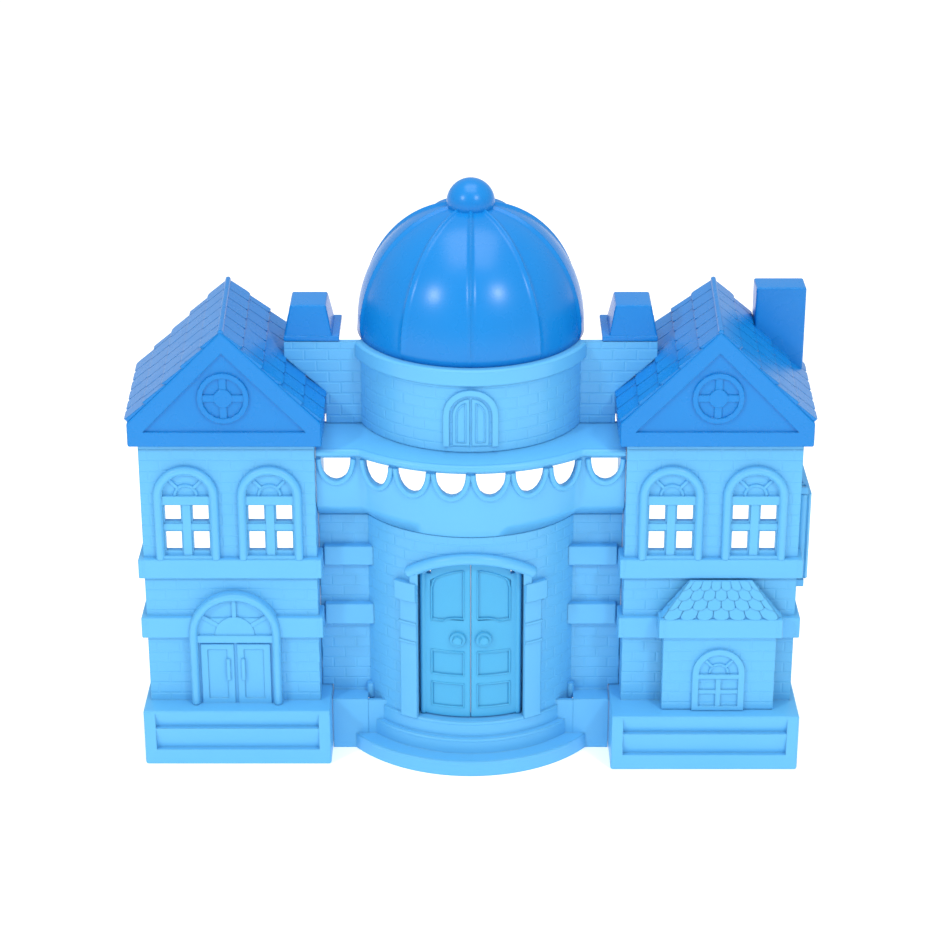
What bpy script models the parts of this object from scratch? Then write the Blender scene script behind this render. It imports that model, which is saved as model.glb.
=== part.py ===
"""Toy castle front: an open-backed moulded playset facade with gable wings, a domed tower and swinging doors.

Metres, +Z up, the front faces -Y. The origin is on the ground at the middle of the castle's box.
"""

import math

import bmesh
import bpy
from mathutils import Matrix, Vector

# Overall size
BACK_Y = 0.048
WING_MID_X = 0.1184
WALL = 0.003
SIDE_WALL = 0.0025
GAP = 0.0003

# Wings: walls, ledges and plinths, as distances of the planes from the middle of the castle
WING_INNER_X = 0.0756
WING_OUTER_X = 0.1610
WING_FRONT_Y = -0.0245
WING_TOP_Z = 0.1707
LEDGE_OUT = 0.0026
LEDGE_FRONT_Y = WING_FRONT_Y - 0.003
LOW_LEDGE = (0.0670, 0.0783)
HIGH_LEDGE = (0.0998, 0.1102)
PLINTH_INNER_X = 0.0702
PLINTH_OUTER_X = 0.1640
PLINTH_TOP_Z = 0.0306
LEFT_PLINTH_Y = -0.0360
RIGHT_PLINTH_Y = -0.0417
CHEEK = 0.0060
TREAD_EDGES = (0.0206, 0.0086)
TREAD_SLOPE = 0.0024

# Windows of the wings
WINDOW_OFFSET_X = 0.0204
WINDOW_HALF = 0.0153
WINDOW_SPRING_Z = 0.1437
WINDOW_FRAME = 0.0038
WINDOW_PROUD = 0.0020
PANE_INNER = 0.0029
PANE_OUTER = 0.0107
UPPER_PANE = (0.1297, 0.1384)
LOWER_PANE = (0.1140, 0.1243)

# Tower: every round piece is turned about this axis
AXIS_Y = 0.0246
TOWER_R = 0.0605
TOWER_WALL = 0.0030
STEP_RISE = 0.0082
STEP_RADII = (AXIS_Y + BACK_Y, 0.0643, 0.0615)
SILL_Z = 3 * STEP_RISE
SILL_INNER_R = 0.0510
TOWER_TOP_Z = 0.1260
DRUM_R = 0.0575
DRUM_FLOOR_Z = 0.1700
RIM_R = 0.0600
RIM_Z = (0.2050, 0.2127)

# Straight walls between the tower and the wings
LINK_Y = -0.0080
BELT_Y = -0.0120
LINK_PLINTH_Y = -0.0185
LINK_PLINTH_Z = 0.0278
LINK_X = (0.0490, WING_INNER_X - GAP)
UPPER_LINK_Y = 0.0040
UPPER_LINK_X = 0.0910
DECK_BACK_Y = 0.0350

# Balcony: a shallow arc in front and a straight bay on each side
BALCONY_FRONT_Y = -0.0410
BALCONY_SIDE_Y = -0.0210
BALCONY_HALF_X = 0.0540
BALCONY_FACE_Z = (0.1365, 0.1665)
BALCONY_HOLE_Z = 0.1620
BALCONY_HOLE_R = 0.0080
BALCONY_HOLE_DEPTH = 0.0118
BALCONY_ARC_ANGLES = (6.6, 20.0, 33.4)
BALCONY_BAY_X = 0.0656

# Entrance doors
DOOR_HALF_X = 0.0260
DOOR_SPRING_Z = 0.1046
DOOR_CROWN_Z = 0.1126
LEAF_R = (0.0544, 0.0570)
LEAF_HALF_X = 0.0236
LEAF_Z = (SILL_Z + 0.0007, 0.1104)
LEAF_SPRING_Z = 0.1016
HINGE_R = LEAF_R[1] - 0.0007
STUB_R = 0.0012
STUB_LENGTH = 0.0030

# Roofs
GABLE_FRONT_Y = -0.0295
EAVE_INNER_X = 0.0718
EAVE_OUTER_X = 0.1653
EAVE_BACK_OUT = 0.0027
EAVE_BACK_LIFT = 0.0040
FASCIA_Z = (WING_TOP_Z + GAP, 0.1833)
RIDGE_Z = 0.2300
ROOF_WALL = 0.0028
DOME_R = 0.0558
DOME_RISE = 0.0597
DOME_BASE_Z = 0.2168
DOME_SKIN = 0.0025
FINIAL_R = 0.0118
FINIAL_Z = 0.2773
RIBS = 10

# Screws
SCREW_SHANK_R = 0.0013
SCREW_HEAD_R = 0.0030
SCREW_HEAD_H = 0.0018
SCREW_LENGTH = 0.0090
BOSS_R = 0.0040
BOSS_BORE_R = 0.0016
EAR_HOLE_R = 0.0019
EAR = 0.0030

# Finishes: linear colour, roughness and metallic value
FINISHES = {
    "light": ((0.13, 0.56, 0.97, 1.0), 0.35, 0.0),
    "dark": ((0.016, 0.27, 0.82, 1.0), 0.30, 0.0),
    "door": ((0.09, 0.50, 0.86, 1.0), 0.35, 0.0),
    "steel": ((0.60, 0.61, 0.63, 1.0), 0.30, 1.0),
}


def clear_scene():
    for obj in list(bpy.data.objects):
        bpy.data.objects.remove(obj)


def material(name, finish):
    """A plain shader for one sub-part."""
    colour, roughness, metallic = FINISHES[finish]
    mat = bpy.data.materials.new(name)
    mat.use_nodes = True
    shader = mat.node_tree.nodes["Principled BSDF"]
    shader.inputs["Base Color"].default_value = colour
    shader.inputs["Roughness"].default_value = roughness
    shader.inputs["Metallic"].default_value = metallic
    return mat


# ---------------------------------------------------------------- basic solids


def solid(name, bm):
    """A mesh object from a bmesh whose faces are turned to point out."""
    bmesh.ops.recalc_face_normals(bm, faces=bm.faces)
    mesh = bpy.data.meshes.new(name)
    bm.to_mesh(mesh)
    bm.free()
    obj = bpy.data.objects.new(name, mesh)
    bpy.context.scene.collection.objects.link(obj)
    return obj


def soften(bm, width, segments=2):
    """Rounds every edge of a simple solid."""
    if width:
        bmesh.ops.bevel(bm, geom=bm.edges[:], offset=width, segments=segments, profile=0.5, affect="EDGES")


def box(low, high, soft=0.0):
    bm = bmesh.new()
    size = Vector(high) - Vector(low)
    middle = (Vector(high) + Vector(low)) / 2
    bmesh.ops.create_cube(bm, size=1.0, matrix=Matrix.Translation(middle) @ Matrix.Diagonal((*size, 1)))
    soften(bm, soft)
    return solid("box", bm)


def mirrored_box(side, x, y, z, soft=0.0):
    """A box given for the right-hand side, put on either side (side is 1 or -1)."""
    xs = sorted((side * x[0], side * x[1]))
    return box((xs[0], y[0], z[0]), (xs[1], y[1], z[1]), soft)


def loft(front, back, soft=0.0):
    """A solid between two outlines with the same number of (x, y, z) points."""
    bm = bmesh.new()
    first = [bm.verts.new(p) for p in front]
    last = [bm.verts.new(p) for p in back]
    bm.faces.new(first)
    bm.faces.new(list(reversed(last)))
    for i, j in edge_pairs(len(front)):
        bm.faces.new((first[i], last[i], last[j], first[j]))
    soften(bm, soft)
    return solid("loft", bm)


def edge_pairs(count):
    return [(i, (i + 1) % count) for i in range(count)]


def prism(outline, y0, y1, soft=0.0):
    """An (x, z) outline pushed along Y."""
    return loft([(x, y0, z) for x, z in outline], [(x, y1, z) for x, z in outline], soft)


def cylinder(centre, axis, radius, length, segments=16, tip_radius=None):
    """A closed cylinder or cone that starts at centre and runs along axis."""
    bm = bmesh.new()
    turn = Vector((0, 0, 1)).rotation_difference(Vector(axis)).to_matrix().to_4x4()
    place = Matrix.Translation(Vector(centre) + Vector(axis) * length / 2) @ turn
    end = radius if tip_radius is None else tip_radius
    bmesh.ops.create_cone(
        bm, cap_ends=True, segments=segments, radius1=radius, radius2=end, depth=length, matrix=place
    )
    return solid("cylinder", bm)


def turned(profile, start, end, steps):
    """A closed (radius, z) profile turned about the tower's axis from one angle to another, in degrees.

    The angle is zero at the front and grows towards +X.
    """
    bm = bmesh.new()
    rings = []
    for step in range(steps + 1):
        angle = math.radians(start + (end - start) * step / steps)
        ring = [bm.verts.new((r * math.sin(angle), AXIS_Y - r * math.cos(angle), z)) for r, z in profile]
        rings.append(ring)
    bm.faces.new(rings[0])
    bm.faces.new(list(reversed(rings[-1])))
    for one, two in zip(rings, rings[1:]):
        for i, j in edge_pairs(len(profile)):
            bm.faces.new((one[i], two[i], two[j], one[j]))
    return solid("turned", bm)


def band(r0, r1, z0, z1, start, end, steps):
    return turned([(r0, z0), (r1, z0), (r1, z1), (r0, z1)], start, end, steps)


def arch(mid_x, half, bottom, spring, rise=None, steps=12):
    """An (x, z) outline with straight sides and a round head."""
    rise = half if rise is None else rise
    points = [(mid_x - half, bottom), (mid_x + half, bottom)]
    for step in range(steps + 1):
        angle = math.pi * step / steps
        points.append((mid_x + half * math.cos(angle), spring + rise * math.sin(angle)))
    return points


# ---------------------------------------------------------------- combining solids


def settle(obj):
    """Bakes an object's modifiers into its mesh."""
    bpy.context.view_layer.update()
    graph = bpy.context.evaluated_depsgraph_get()
    mesh = bpy.data.meshes.new_from_object(obj.evaluated_get(graph))
    old = obj.data
    obj.modifiers.clear()
    obj.data = mesh
    bpy.data.meshes.remove(old)


def combine(obj, tools, operation):
    for tool in tools:
        cut = obj.modifiers.new(operation, "BOOLEAN")
        cut.operation = operation
        cut.solver = "EXACT"
        cut.object = tool
        settle(obj)
        bpy.data.objects.remove(tool)
    return obj


def add(obj, *tools):
    return combine(obj, tools, "UNION")


def cut(obj, *tools):
    return combine(obj, tools, "DIFFERENCE")


def keep(obj, *tools):
    return combine(obj, tools, "INTERSECT")


def node(obj, name, finish, pivot=(0, 0, 0)):
    """Gives a finished solid its name, material and shading, and puts its origin at pivot."""
    obj.name = name
    obj.data.name = name
    obj.data.materials.clear()
    obj.data.materials.append(material(name, finish))
    obj.data.shade_smooth()
    obj.data.set_sharp_from_angle(angle=math.radians(35))
    obj.data.transform(Matrix.Translation(-Vector(pivot)))
    obj.location = pivot
    return obj


# ---------------------------------------------------------------- screws, ears and bosses


def screw(name, seat, axis):
    """A pan-head screw whose head's underside is at seat and whose shank runs along axis."""
    direction = Vector(axis)
    head = cylinder(Vector(seat) - direction * SCREW_HEAD_H, axis, SCREW_HEAD_R, SCREW_HEAD_H, 12)
    body = cylinder(Vector(seat) - direction * SCREW_HEAD_H / 2, axis, SCREW_SHANK_R, SCREW_LENGTH, 8)
    slot_low = Vector(seat) - direction * SCREW_HEAD_H * 1.2
    slot = cylinder(slot_low, axis, SCREW_SHANK_R, SCREW_HEAD_H * 0.8, 4)
    cut(add(head, body), slot)
    return node(head, name, "steel")


def boss(seat, axis, length, bore=SCREW_LENGTH):
    """A blind boss that starts at seat, and its bore."""
    outer = cylinder(seat, axis, BOSS_R, length, 12)
    inner = cylinder(Vector(seat) - Vector(axis) * BOSS_R, axis, BOSS_BORE_R, BOSS_R + bore, 8)
    return outer, inner


def ear_hole(seat, axis):
    return cylinder(Vector(seat) - Vector(axis) * EAR, axis, EAR_HOLE_R, 3 * EAR, 8)


# ---------------------------------------------------------------- wings

ROOF_SCREW_X = (0.0860, 0.1500)
ROOF_SCREW_Y = 0.0300
EAR_TOP_Z = 0.1640
WALL_SCREW_Y = 0.0080
WALL_SCREW_Z = (0.0480, 0.0900)
EAR_HALF = 0.0060


def wing_block(side, plinth_y):
    """The wing's outer solid, before it is hollowed out."""
    deep = BACK_Y + 2 * WALL
    body = mirrored_box(side, (WING_INNER_X, WING_OUTER_X), (WING_FRONT_Y, deep), (0.0, WING_TOP_Z))
    ledge_x = (WING_INNER_X + 0.001, WING_OUTER_X + LEDGE_OUT)
    return_x = (WING_INNER_X - LEDGE_OUT + GAP, WING_INNER_X + 0.003)
    for low, high in (LOW_LEDGE, HIGH_LEDGE):
        add(body, mirrored_box(side, ledge_x, (LEDGE_FRONT_Y, deep), (low, high), 0.0007))
        add(body, mirrored_box(side, return_x, (LEDGE_FRONT_Y, BELT_Y - GAP), (low, high), 0.0007))
    plinth_x = (PLINTH_INNER_X, PLINTH_OUTER_X)
    add(body, mirrored_box(side, plinth_x, (plinth_y, deep + GAP), (0.0, PLINTH_TOP_Z), 0.0012))
    return body


def tread_cutter(side, plinth_y):
    """The shadow lines of the three plinth treads, between the cheeks."""
    low, high = PLINTH_INNER_X + CHEEK, PLINTH_OUTER_X - CHEEK
    cutters = []
    tops = (PLINTH_TOP_Z - 0.0014,) + TREAD_EDGES[:1]
    for top, bottom in zip(tops, TREAD_EDGES):
        front, back = plinth_y - 0.001, plinth_y + TREAD_SLOPE
        section = [(front, top), (plinth_y, top), (back, bottom + 0.0004), (back, bottom), (front, bottom)]
        xs = (side * low, side * high)
        cutters.append(loft([(xs[0], y, z) for y, z in section], [(xs[1], y, z) for y, z in section]))
    return cutters


def wing_window(body, mid_x):
    """One four-pane window with a raised arched frame and a round-headed light above it."""
    back = WING_FRONT_Y + 0.001
    proud = WING_FRONT_Y - WINDOW_PROUD
    bottom = HIGH_LEDGE[1] - 0.001
    frame = prism(arch(mid_x, WINDOW_HALF, bottom, WINDOW_SPRING_Z), proud, back)
    inner = WINDOW_HALF - WINDOW_FRAME
    hollow_z = LOWER_PANE[0] - 0.0022
    cut(frame, prism(arch(mid_x, inner, hollow_z, WINDOW_SPRING_Z), proud - WALL, WING_FRONT_Y + 0.0002))
    add(body, frame)
    bar_z = (UPPER_PANE[1] + 0.0006, WINDOW_SPRING_Z)
    add(body, box((mid_x - inner - 0.0006, proud + 0.0004, bar_z[0]), (mid_x + inner + 0.0006, back, bar_z[1])))
    cross_y = proud + 0.0009
    add(body, box((mid_x - PANE_INNER + 0.0008, cross_y, hollow_z - 0.001), (mid_x + PANE_INNER - 0.0008, back, bar_z[1])))
    middle_z = (LOWER_PANE[1] + UPPER_PANE[0]) / 2
    bar = 0.0018
    add(body, box((mid_x - inner - 0.0004, cross_y + 0.0002, middle_z - bar), (mid_x + inner + 0.0004, back, middle_z + bar)))
    for low, high in (UPPER_PANE, LOWER_PANE):
        for sign in (-1, 1):
            xs = sorted((mid_x + sign * PANE_INNER, mid_x + sign * PANE_OUTER))
            cut(body, box((xs[0], WING_FRONT_Y - 0.01, low), (xs[1], WING_FRONT_Y + 0.01, high)))
    return body


def fan(body, mid_x, centre_z, radius, back, proud, hub, spokes):
    """Raised glazing bars of a half-round light: a hub and straight spokes."""
    hub_outline = [p for p in arch(mid_x, hub, centre_z - 0.001, centre_z, steps=10)]
    add(body, prism(hub_outline, proud, back))
    for degrees in spokes:
        angle = math.radians(degrees)
        along = Vector((math.cos(angle), 0, math.sin(angle)))
        across = Vector((-along.z, 0, along.x)) * 0.0011
        start = Vector((mid_x, 0, centre_z)) + along * hub * 0.7
        end = Vector((mid_x, 0, centre_z)) + along * (radius + 0.0008)
        outline = [(p.x, p.z) for p in (start - across, end - across, end + across, start + across)]
        add(body, prism(outline, proud + 0.0001, back + 0.0001))
    return body


DOORWAY_X = -0.1173
DOORWAY_HALF = 0.0227
DOORWAY_SPRING_Z = 0.0697
DOORWAY_FRAME = 0.0042
DOORWAY_BAR_Z = (0.0650, 0.0690)


def garden_doorway(body):
    """The left wing's moulded double door under a fanlight. It is part of the wall and doesn't open."""
    back = WING_FRONT_Y + 0.001
    proud = LEDGE_FRONT_Y - 0.0012
    frame = prism(arch(DOORWAY_X, DOORWAY_HALF, PLINTH_TOP_Z - 0.001, DOORWAY_SPRING_Z, steps=20), proud, back)
    inner = DOORWAY_HALF - DOORWAY_FRAME
    light = arch(DOORWAY_X, inner, DOORWAY_BAR_Z[1], DOORWAY_SPRING_Z, steps=16)
    cut(frame, prism(light, proud - WALL, proud + 0.0020))
    doors_low, doors_high = PLINTH_TOP_Z - 0.002, DOORWAY_BAR_Z[0]
    cut(frame, box((DOORWAY_X - inner, proud - WALL, doors_low), (DOORWAY_X + inner, proud + 0.0018, doors_high)))
    fan(frame, DOORWAY_X, DOORWAY_BAR_Z[1], inner, proud + 0.0022, proud + 0.0008, 0.0100, (32, 90, 148))
    for sign in (-1, 1):
        garden_leaf(frame, sign, proud + 0.0018, inner)
    return add(body, frame)


def garden_leaf(frame, sign, face_y, inner):
    """One raised leaf with a sunk panel and an upright handle."""
    edge, seam = inner - 0.0012, 0.0008
    z = (PLINTH_TOP_Z - 0.0005, DOORWAY_BAR_Z[0] - 0.0012)
    leaf_x = sorted((DOORWAY_X + sign * seam, DOORWAY_X + sign * edge))
    add(frame, box((leaf_x[0], face_y - 0.0009, z[0]), (leaf_x[1], face_y + 0.0005, z[1])))
    panel_x = (leaf_x[0] + 0.0034, leaf_x[1] - 0.0034)
    cut(frame, box((panel_x[0], face_y - 0.002, z[0] + 0.0035), (panel_x[1], face_y - 0.0003, z[1] - 0.003)))
    handle_x = sorted((DOORWAY_X + sign * 0.0028, DOORWAY_X + sign * 0.0046))
    add(frame, box((handle_x[0], face_y - 0.0019, 0.0440), (handle_x[1], face_y - 0.0005, 0.0560)))


def wing_shell(side, plinth_y, name):
    body = wing_block(side, plinth_y)
    cut(body, *tread_cutter(side, plinth_y))
    if side < 0:
        garden_doorway(body)
    for offset in (-WINDOW_OFFSET_X, WINDOW_OFFSET_X):
        wing_window(body, side * WING_MID_X + offset)
    far = BACK_Y + 4 * WALL
    room_x = (WING_INNER_X + SIDE_WALL, WING_OUTER_X - SIDE_WALL)
    cut(body, mirrored_box(side, room_x, (WING_FRONT_Y + WALL, far), (-WALL, WING_TOP_Z + WALL)))
    cellar_x = (PLINTH_INNER_X + SIDE_WALL, PLINTH_OUTER_X - SIDE_WALL)
    cellar_y = (plinth_y + WALL + TREAD_SLOPE, far)
    cut(body, mirrored_box(side, cellar_x, cellar_y, (-WALL, PLINTH_TOP_Z - SIDE_WALL)))
    add(body, *wing_ears(side), *wing_wall_bosses(side))
    for x in ROOF_SCREW_X:
        cut(body, ear_hole((side * x, ROOF_SCREW_Y, EAR_TOP_Z), (0, 0, -1)))
    for z in WALL_SCREW_Z:
        bore = cylinder((side * (WING_INNER_X - WALL), WALL_SCREW_Y, z), (side, 0, 0), BOSS_BORE_R, 0.0125, 8)
        cut(body, bore)
    cut(body, box((-1, BACK_Y, -1), (1, BACK_Y + 1, 1)))
    if side > 0:
        cut(body, *latch_notches())
        add(body, *latch_lugs())
        cut(body, cylinder((*LATCH_PIN, LATCH_Z[0] - 0.006), (0, 0, 1), LATCH_BORE_R, 0.060, 12))
    return node(body, name, "light")


def wing_ears(side):
    """Two flat ears inside the wing that the roof screws pass through."""
    inner = (WING_INNER_X + SIDE_WALL / 2, ROOF_SCREW_X[0] + EAR_HALF)
    outer = (ROOF_SCREW_X[1] - EAR_HALF, WING_OUTER_X - SIDE_WALL / 2)
    y = (ROOF_SCREW_Y - EAR_HALF, ROOF_SCREW_Y + EAR_HALF)
    return [mirrored_box(side, x, y, (EAR_TOP_Z - EAR, EAR_TOP_Z)) for x in (inner, outer)]


def wing_wall_bosses(side):
    start = WING_INNER_X + SIDE_WALL / 2
    return [cylinder((side * start, WALL_SCREW_Y, z), (side, 0, 0), BOSS_R, 0.0105, 12) for z in WALL_SCREW_Z]


# ---------------------------------------------------------------- bay window of the right wing

BAY_X = 0.1233
BAY_HALF = 0.0279
BAY_FRONT_Y = -0.0346
BAY_EAVE_HALF = 0.0306
BAY_EAVE_Y = -0.0372
BAY_EAVE_Z = (0.0716, 0.0820)
BAY_TOP_HALF = 0.0153
BAY_TOP_Z = HIGH_LEDGE[0] - GAP
BAY_BACK_Y = LEDGE_FRONT_Y - GAP


def bay_window():
    """The bay that stands on the right plinth, with a hipped canopy and a closed arched window."""
    floor_z = PLINTH_TOP_Z + GAP
    body = box((BAY_X - BAY_HALF, BAY_FRONT_Y, floor_z), (BAY_X + BAY_HALF, BAY_BACK_Y, BAY_EAVE_Z[0] + 0.001))
    eave_low = (BAY_X - BAY_EAVE_HALF, BAY_EAVE_Y, BAY_EAVE_Z[0])
    eave_high = (BAY_X + BAY_EAVE_HALF, BAY_BACK_Y + 0.002, BAY_EAVE_Z[1])
    add(body, box(eave_low, eave_high, 0.0008))
    add(body, bay_canopy())
    bay_casement(body)
    hollow_x = BAY_HALF - SIDE_WALL
    hollow_low = (BAY_X - hollow_x, BAY_FRONT_Y + WALL, floor_z - WALL)
    cut(body, box(hollow_low, (BAY_X + hollow_x, BAY_BACK_Y + WALL, BAY_EAVE_Z[1] - WALL)))
    cut(body, box((-1, BAY_BACK_Y, -1), (1, BAY_BACK_Y + 1, 1)))
    return node(body, "bay_window", "light")


def bay_canopy():
    low_z = BAY_EAVE_Z[1] - 0.0012
    low = BAY_EAVE_HALF - 0.0011
    back_y = BAY_BACK_Y + 0.003
    front = [
        (BAY_X - low, BAY_EAVE_Y + 0.0011, low_z),
        (BAY_X + low, BAY_EAVE_Y + 0.0011, low_z),
        (BAY_X + low, back_y, low_z),
        (BAY_X - low, back_y, low_z),
    ]
    top_y = LEDGE_FRONT_Y - 0.0016
    top = [
        (BAY_X - BAY_TOP_HALF, top_y, BAY_TOP_Z),
        (BAY_X + BAY_TOP_HALF, top_y, BAY_TOP_Z),
        (BAY_X + BAY_TOP_HALF, back_y, BAY_TOP_Z),
        (BAY_X - BAY_TOP_HALF, back_y, BAY_TOP_Z),
    ]
    return loft(front, top)


def bay_casement(body):
    half, spring, proud = 0.0130, 0.0520, BAY_FRONT_Y - 0.0016
    floor_z = PLINTH_TOP_Z + GAP
    frame = prism(arch(BAY_X, half, floor_z, spring), proud, BAY_FRONT_Y + 0.001)
    inner = half - 0.0032
    light = arch(BAY_X, inner, spring - 0.0008, spring)
    cut(frame, prism(light, proud - 0.001, proud + 0.0011))
    cut(frame, box((BAY_X - inner, proud - 0.001, floor_z + 0.0025), (BAY_X + inner, proud + 0.0012, spring - 0.0034)))
    add(frame, box((BAY_X - 0.0013, proud + 0.0003, floor_z + 0.001), (BAY_X + 0.0013, proud + 0.0016, spring - 0.002)))
    add(frame, box((BAY_X - inner - 0.0003, proud + 0.0004, 0.0401), (BAY_X + inner + 0.0003, proud + 0.0017, 0.0424)))
    add(body, frame)


# ---------------------------------------------------------------- latch on the right wing

LATCH_PIN = (0.1640, -0.0100)
LATCH_PIN_R = 0.0009
LATCH_BORE_R = 0.00125
LATCH_Z = (0.0925, 0.1385)
LATCH_PLATE_X = (0.1652, 0.1680)


def latch_notches():
    """Cutters that open the high ledge for the latch's knuckle and hook."""
    x = (WING_OUTER_X + 0.0002, WING_OUTER_X + 0.02)
    z = (HIGH_LEDGE[0] - 0.002, HIGH_LEDGE[1] + 0.002)
    spans = ((LATCH_PIN[1] - 0.0050, LATCH_PIN[1] + 0.0034), (BACK_Y - 0.0060, BACK_Y + 0.001))
    return [box((x[0], y[0], z[0]), (x[1], y[1], z[1])) for y in spans]


def latch_lugs():
    """Two lugs on the wing's outer wall that carry the latch pin."""
    y = (LATCH_PIN[1] - 0.0026, LATCH_PIN[1] + 0.0026)
    x = (WING_OUTER_X - SIDE_WALL / 2, LATCH_PIN[0] + 0.0022)
    low = (LATCH_Z[0] - 0.0040, LATCH_Z[0] - GAP)
    high = (LATCH_Z[1] + GAP, LATCH_Z[1] + 0.0040)
    return [box((x[0], y[0], z[0]), (x[1], y[1], z[1])) for z in (low, high)]


def side_latch():
    """A strap that swings about an upright pin and hooks behind the edge of the mating rear half."""
    pin_x, pin_y = LATCH_PIN
    inner, outer = LATCH_PLATE_X
    tip_y = BACK_Y - 0.0020
    plan = [
        (inner - 0.0008, pin_y + 0.0003),
        (outer - 0.0012, pin_y - 0.0020),
        (outer, pin_y - 0.0006),
        (outer, tip_y - 0.0010),
        (outer - 0.0010, tip_y),
        (inner - 0.0022, tip_y),
        (inner - 0.0022, tip_y - 0.0026),
        (inner, tip_y - 0.0034),
        (inner, pin_y + 0.0040),
        (inner - 0.0008, pin_y + 0.0030),
    ]
    strap = loft([(x, y, LATCH_Z[0]) for x, y in plan], [(x, y, LATCH_Z[1]) for x, y in plan])
    knuckle_low, knuckle_high = LATCH_Z[0] + 0.0001, LATCH_Z[1] - 0.0001
    add(strap, cylinder((pin_x, pin_y, knuckle_low), (0, 0, 1), 0.0024, knuckle_high - knuckle_low))
    cut(strap, cylinder((pin_x, pin_y, LATCH_Z[0] - 0.01), (0, 0, 1), LATCH_BORE_R, 0.07, 12))
    cut(strap, box((inner - 0.01, pin_y + 0.0120, 0.1180), (outer + 0.01, pin_y + 0.0300, 0.1300)))
    return node(strap, "side_latch", "light", (pin_x, pin_y, LATCH_Z[0]))


def latch_pin():
    length = LATCH_Z[1] - LATCH_Z[0] + 0.0070
    pin = cylinder((*LATCH_PIN, LATCH_Z[0] - 0.0035), (0, 0, 1), LATCH_PIN_R, length, 12)
    return node(pin, "latch_pin", "steel")


# ---------------------------------------------------------------- centre: tower foot, steps and straight walls


def steps_profile():
    """The (radius, z) section through the stepped skin and the tower wall, with its sill."""
    one, two, three = STEP_RADII
    skin = SIDE_WALL
    inner_wall = TOWER_R - TOWER_WALL
    return [
        (one, 0.0),
        (one, STEP_RISE),
        (two, STEP_RISE),
        (two, 2 * STEP_RISE),
        (three, 2 * STEP_RISE),
        (three, SILL_Z),
        (TOWER_R, SILL_Z),
        (TOWER_R, TOWER_TOP_Z),
        (inner_wall, TOWER_TOP_Z),
        (inner_wall, SILL_Z),
        (SILL_INNER_R, SILL_Z),
        (SILL_INNER_R, SILL_Z - 0.0045),
        (three - skin, SILL_Z - 0.0045),
        (three - skin, 2 * STEP_RISE - skin),
        (two - skin, 2 * STEP_RISE - skin),
        (two - skin, STEP_RISE - skin),
        (one - skin, STEP_RISE - skin),
        (one - skin, 0.0),
    ]


def door_opening(half, bottom, spring, crown, steps=14):
    """The segmental-arched doorway outline, in (x, z)."""
    rise = crown - spring
    radius = (half**2 + rise**2) / (2 * rise)
    centre_z = crown - radius
    sweep = math.asin(half / radius)
    head = []
    for step in range(steps + 1):
        angle = sweep - 2 * sweep * step / steps
        head.append((radius * math.sin(angle), centre_z + radius * math.cos(angle)))
    return [(-half, bottom), (half, bottom)] + head


def surround():
    """The raised arch, pilasters and capitals around the doorway, shaped to the tower's curve."""
    outer = prism(door_opening(0.0302, SILL_Z + 0.05, 0.1063, 0.1173), -0.06, -0.01)
    ring = keep(band(TOWER_R - 0.001, TOWER_R + 0.0022, 0.0985, 0.1200, -40, 40, 16), outer)
    for sign in (-1, 1):
        start, end = pilaster_angles(sign, 0.0262, 0.0342)
        add(ring, band(TOWER_R - 0.001, TOWER_R + 0.0018, SILL_Z - 0.001, 0.0990, start, end, 4))
        start, end = pilaster_angles(sign, 0.0262, 0.0362)
        add(ring, band(TOWER_R - 0.001, TOWER_R + 0.0030, 0.0890, 0.0990, start, end, 5))
        start, end = pilaster_angles(sign, 0.0262, 0.0346)
        for z in (0.0655, 0.0760):
            add(ring, band(TOWER_R - 0.001, TOWER_R + 0.0023, z, z + 0.0014, start, end, 4))
    return ring


def pilaster_angles(sign, near, far):
    angles = [math.degrees(math.asin(x / TOWER_R)) * sign for x in (near, far)]
    return min(angles), max(angles)


def link_walls(side):
    """One straight wall between tower and wing: plinth, wall, belts and the screw flange."""
    x0, x1 = LINK_X
    depth = (LINK_Y, LINK_Y + WALL)
    wall = mirrored_box(side, (x0, x1), depth, (PLINTH_TOP_Z + GAP, TOWER_TOP_Z))
    narrow_x = (x0 + 0.001, PLINTH_INNER_X - GAP)
    add(wall, mirrored_box(side, narrow_x, depth, (LINK_PLINTH_Z - SIDE_WALL, PLINTH_TOP_Z + 0.002)))
    for low, high in (LOW_LEDGE, HIGH_LEDGE):
        belt_x = (x0 - 0.0005, WING_INNER_X - LEDGE_OUT)
        add(wall, mirrored_box(side, belt_x, (BELT_Y, LINK_Y + 0.001), (low, high), 0.0007))
    foot_x = (0.0520, PLINTH_INNER_X - GAP)
    foot = mirrored_box(side, foot_x, (LINK_PLINTH_Y, LINK_Y + WALL), (0.0, LINK_PLINTH_Z))
    cellar = mirrored_box(side, (0.01, 0.2), (LINK_PLINTH_Y + SIDE_WALL, 0.1), (-WALL, LINK_PLINTH_Z - SIDE_WALL))
    add(wall, cut(foot, cellar))
    cheek_y = (LINK_PLINTH_Y + 0.0003, LINK_PLINTH_Y + SIDE_WALL - 0.0003)
    add(wall, mirrored_box(side, (0.0425, 0.0533), cheek_y, (0.0012, LINK_PLINTH_Z - 0.0006)))
    flange_y = (LINK_Y + 0.001, WALL_SCREW_Y + EAR_HALF)
    for z in WALL_SCREW_Z:
        flange_z = (z - EAR_HALF, z + EAR_HALF)
        add(wall, mirrored_box(side, (x1 - SIDE_WALL, x1), flange_y, flange_z))
        hole = cylinder((side * (x1 - 0.01), WALL_SCREW_Y, z), (side, 0, 0), EAR_HOLE_R, 0.02, 12)
        cut(wall, hole)
    return wall


HINGE_ANGLE = math.degrees(math.asin(LEAF_HALF_X / HINGE_R))
HINGE_Y = AXIS_Y - HINGE_R * math.cos(math.radians(HINGE_ANGLE))
LUG_Z = (0.1040, 0.1095)
BALCONY_SCREW = (0.0620, 0.0020)


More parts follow.
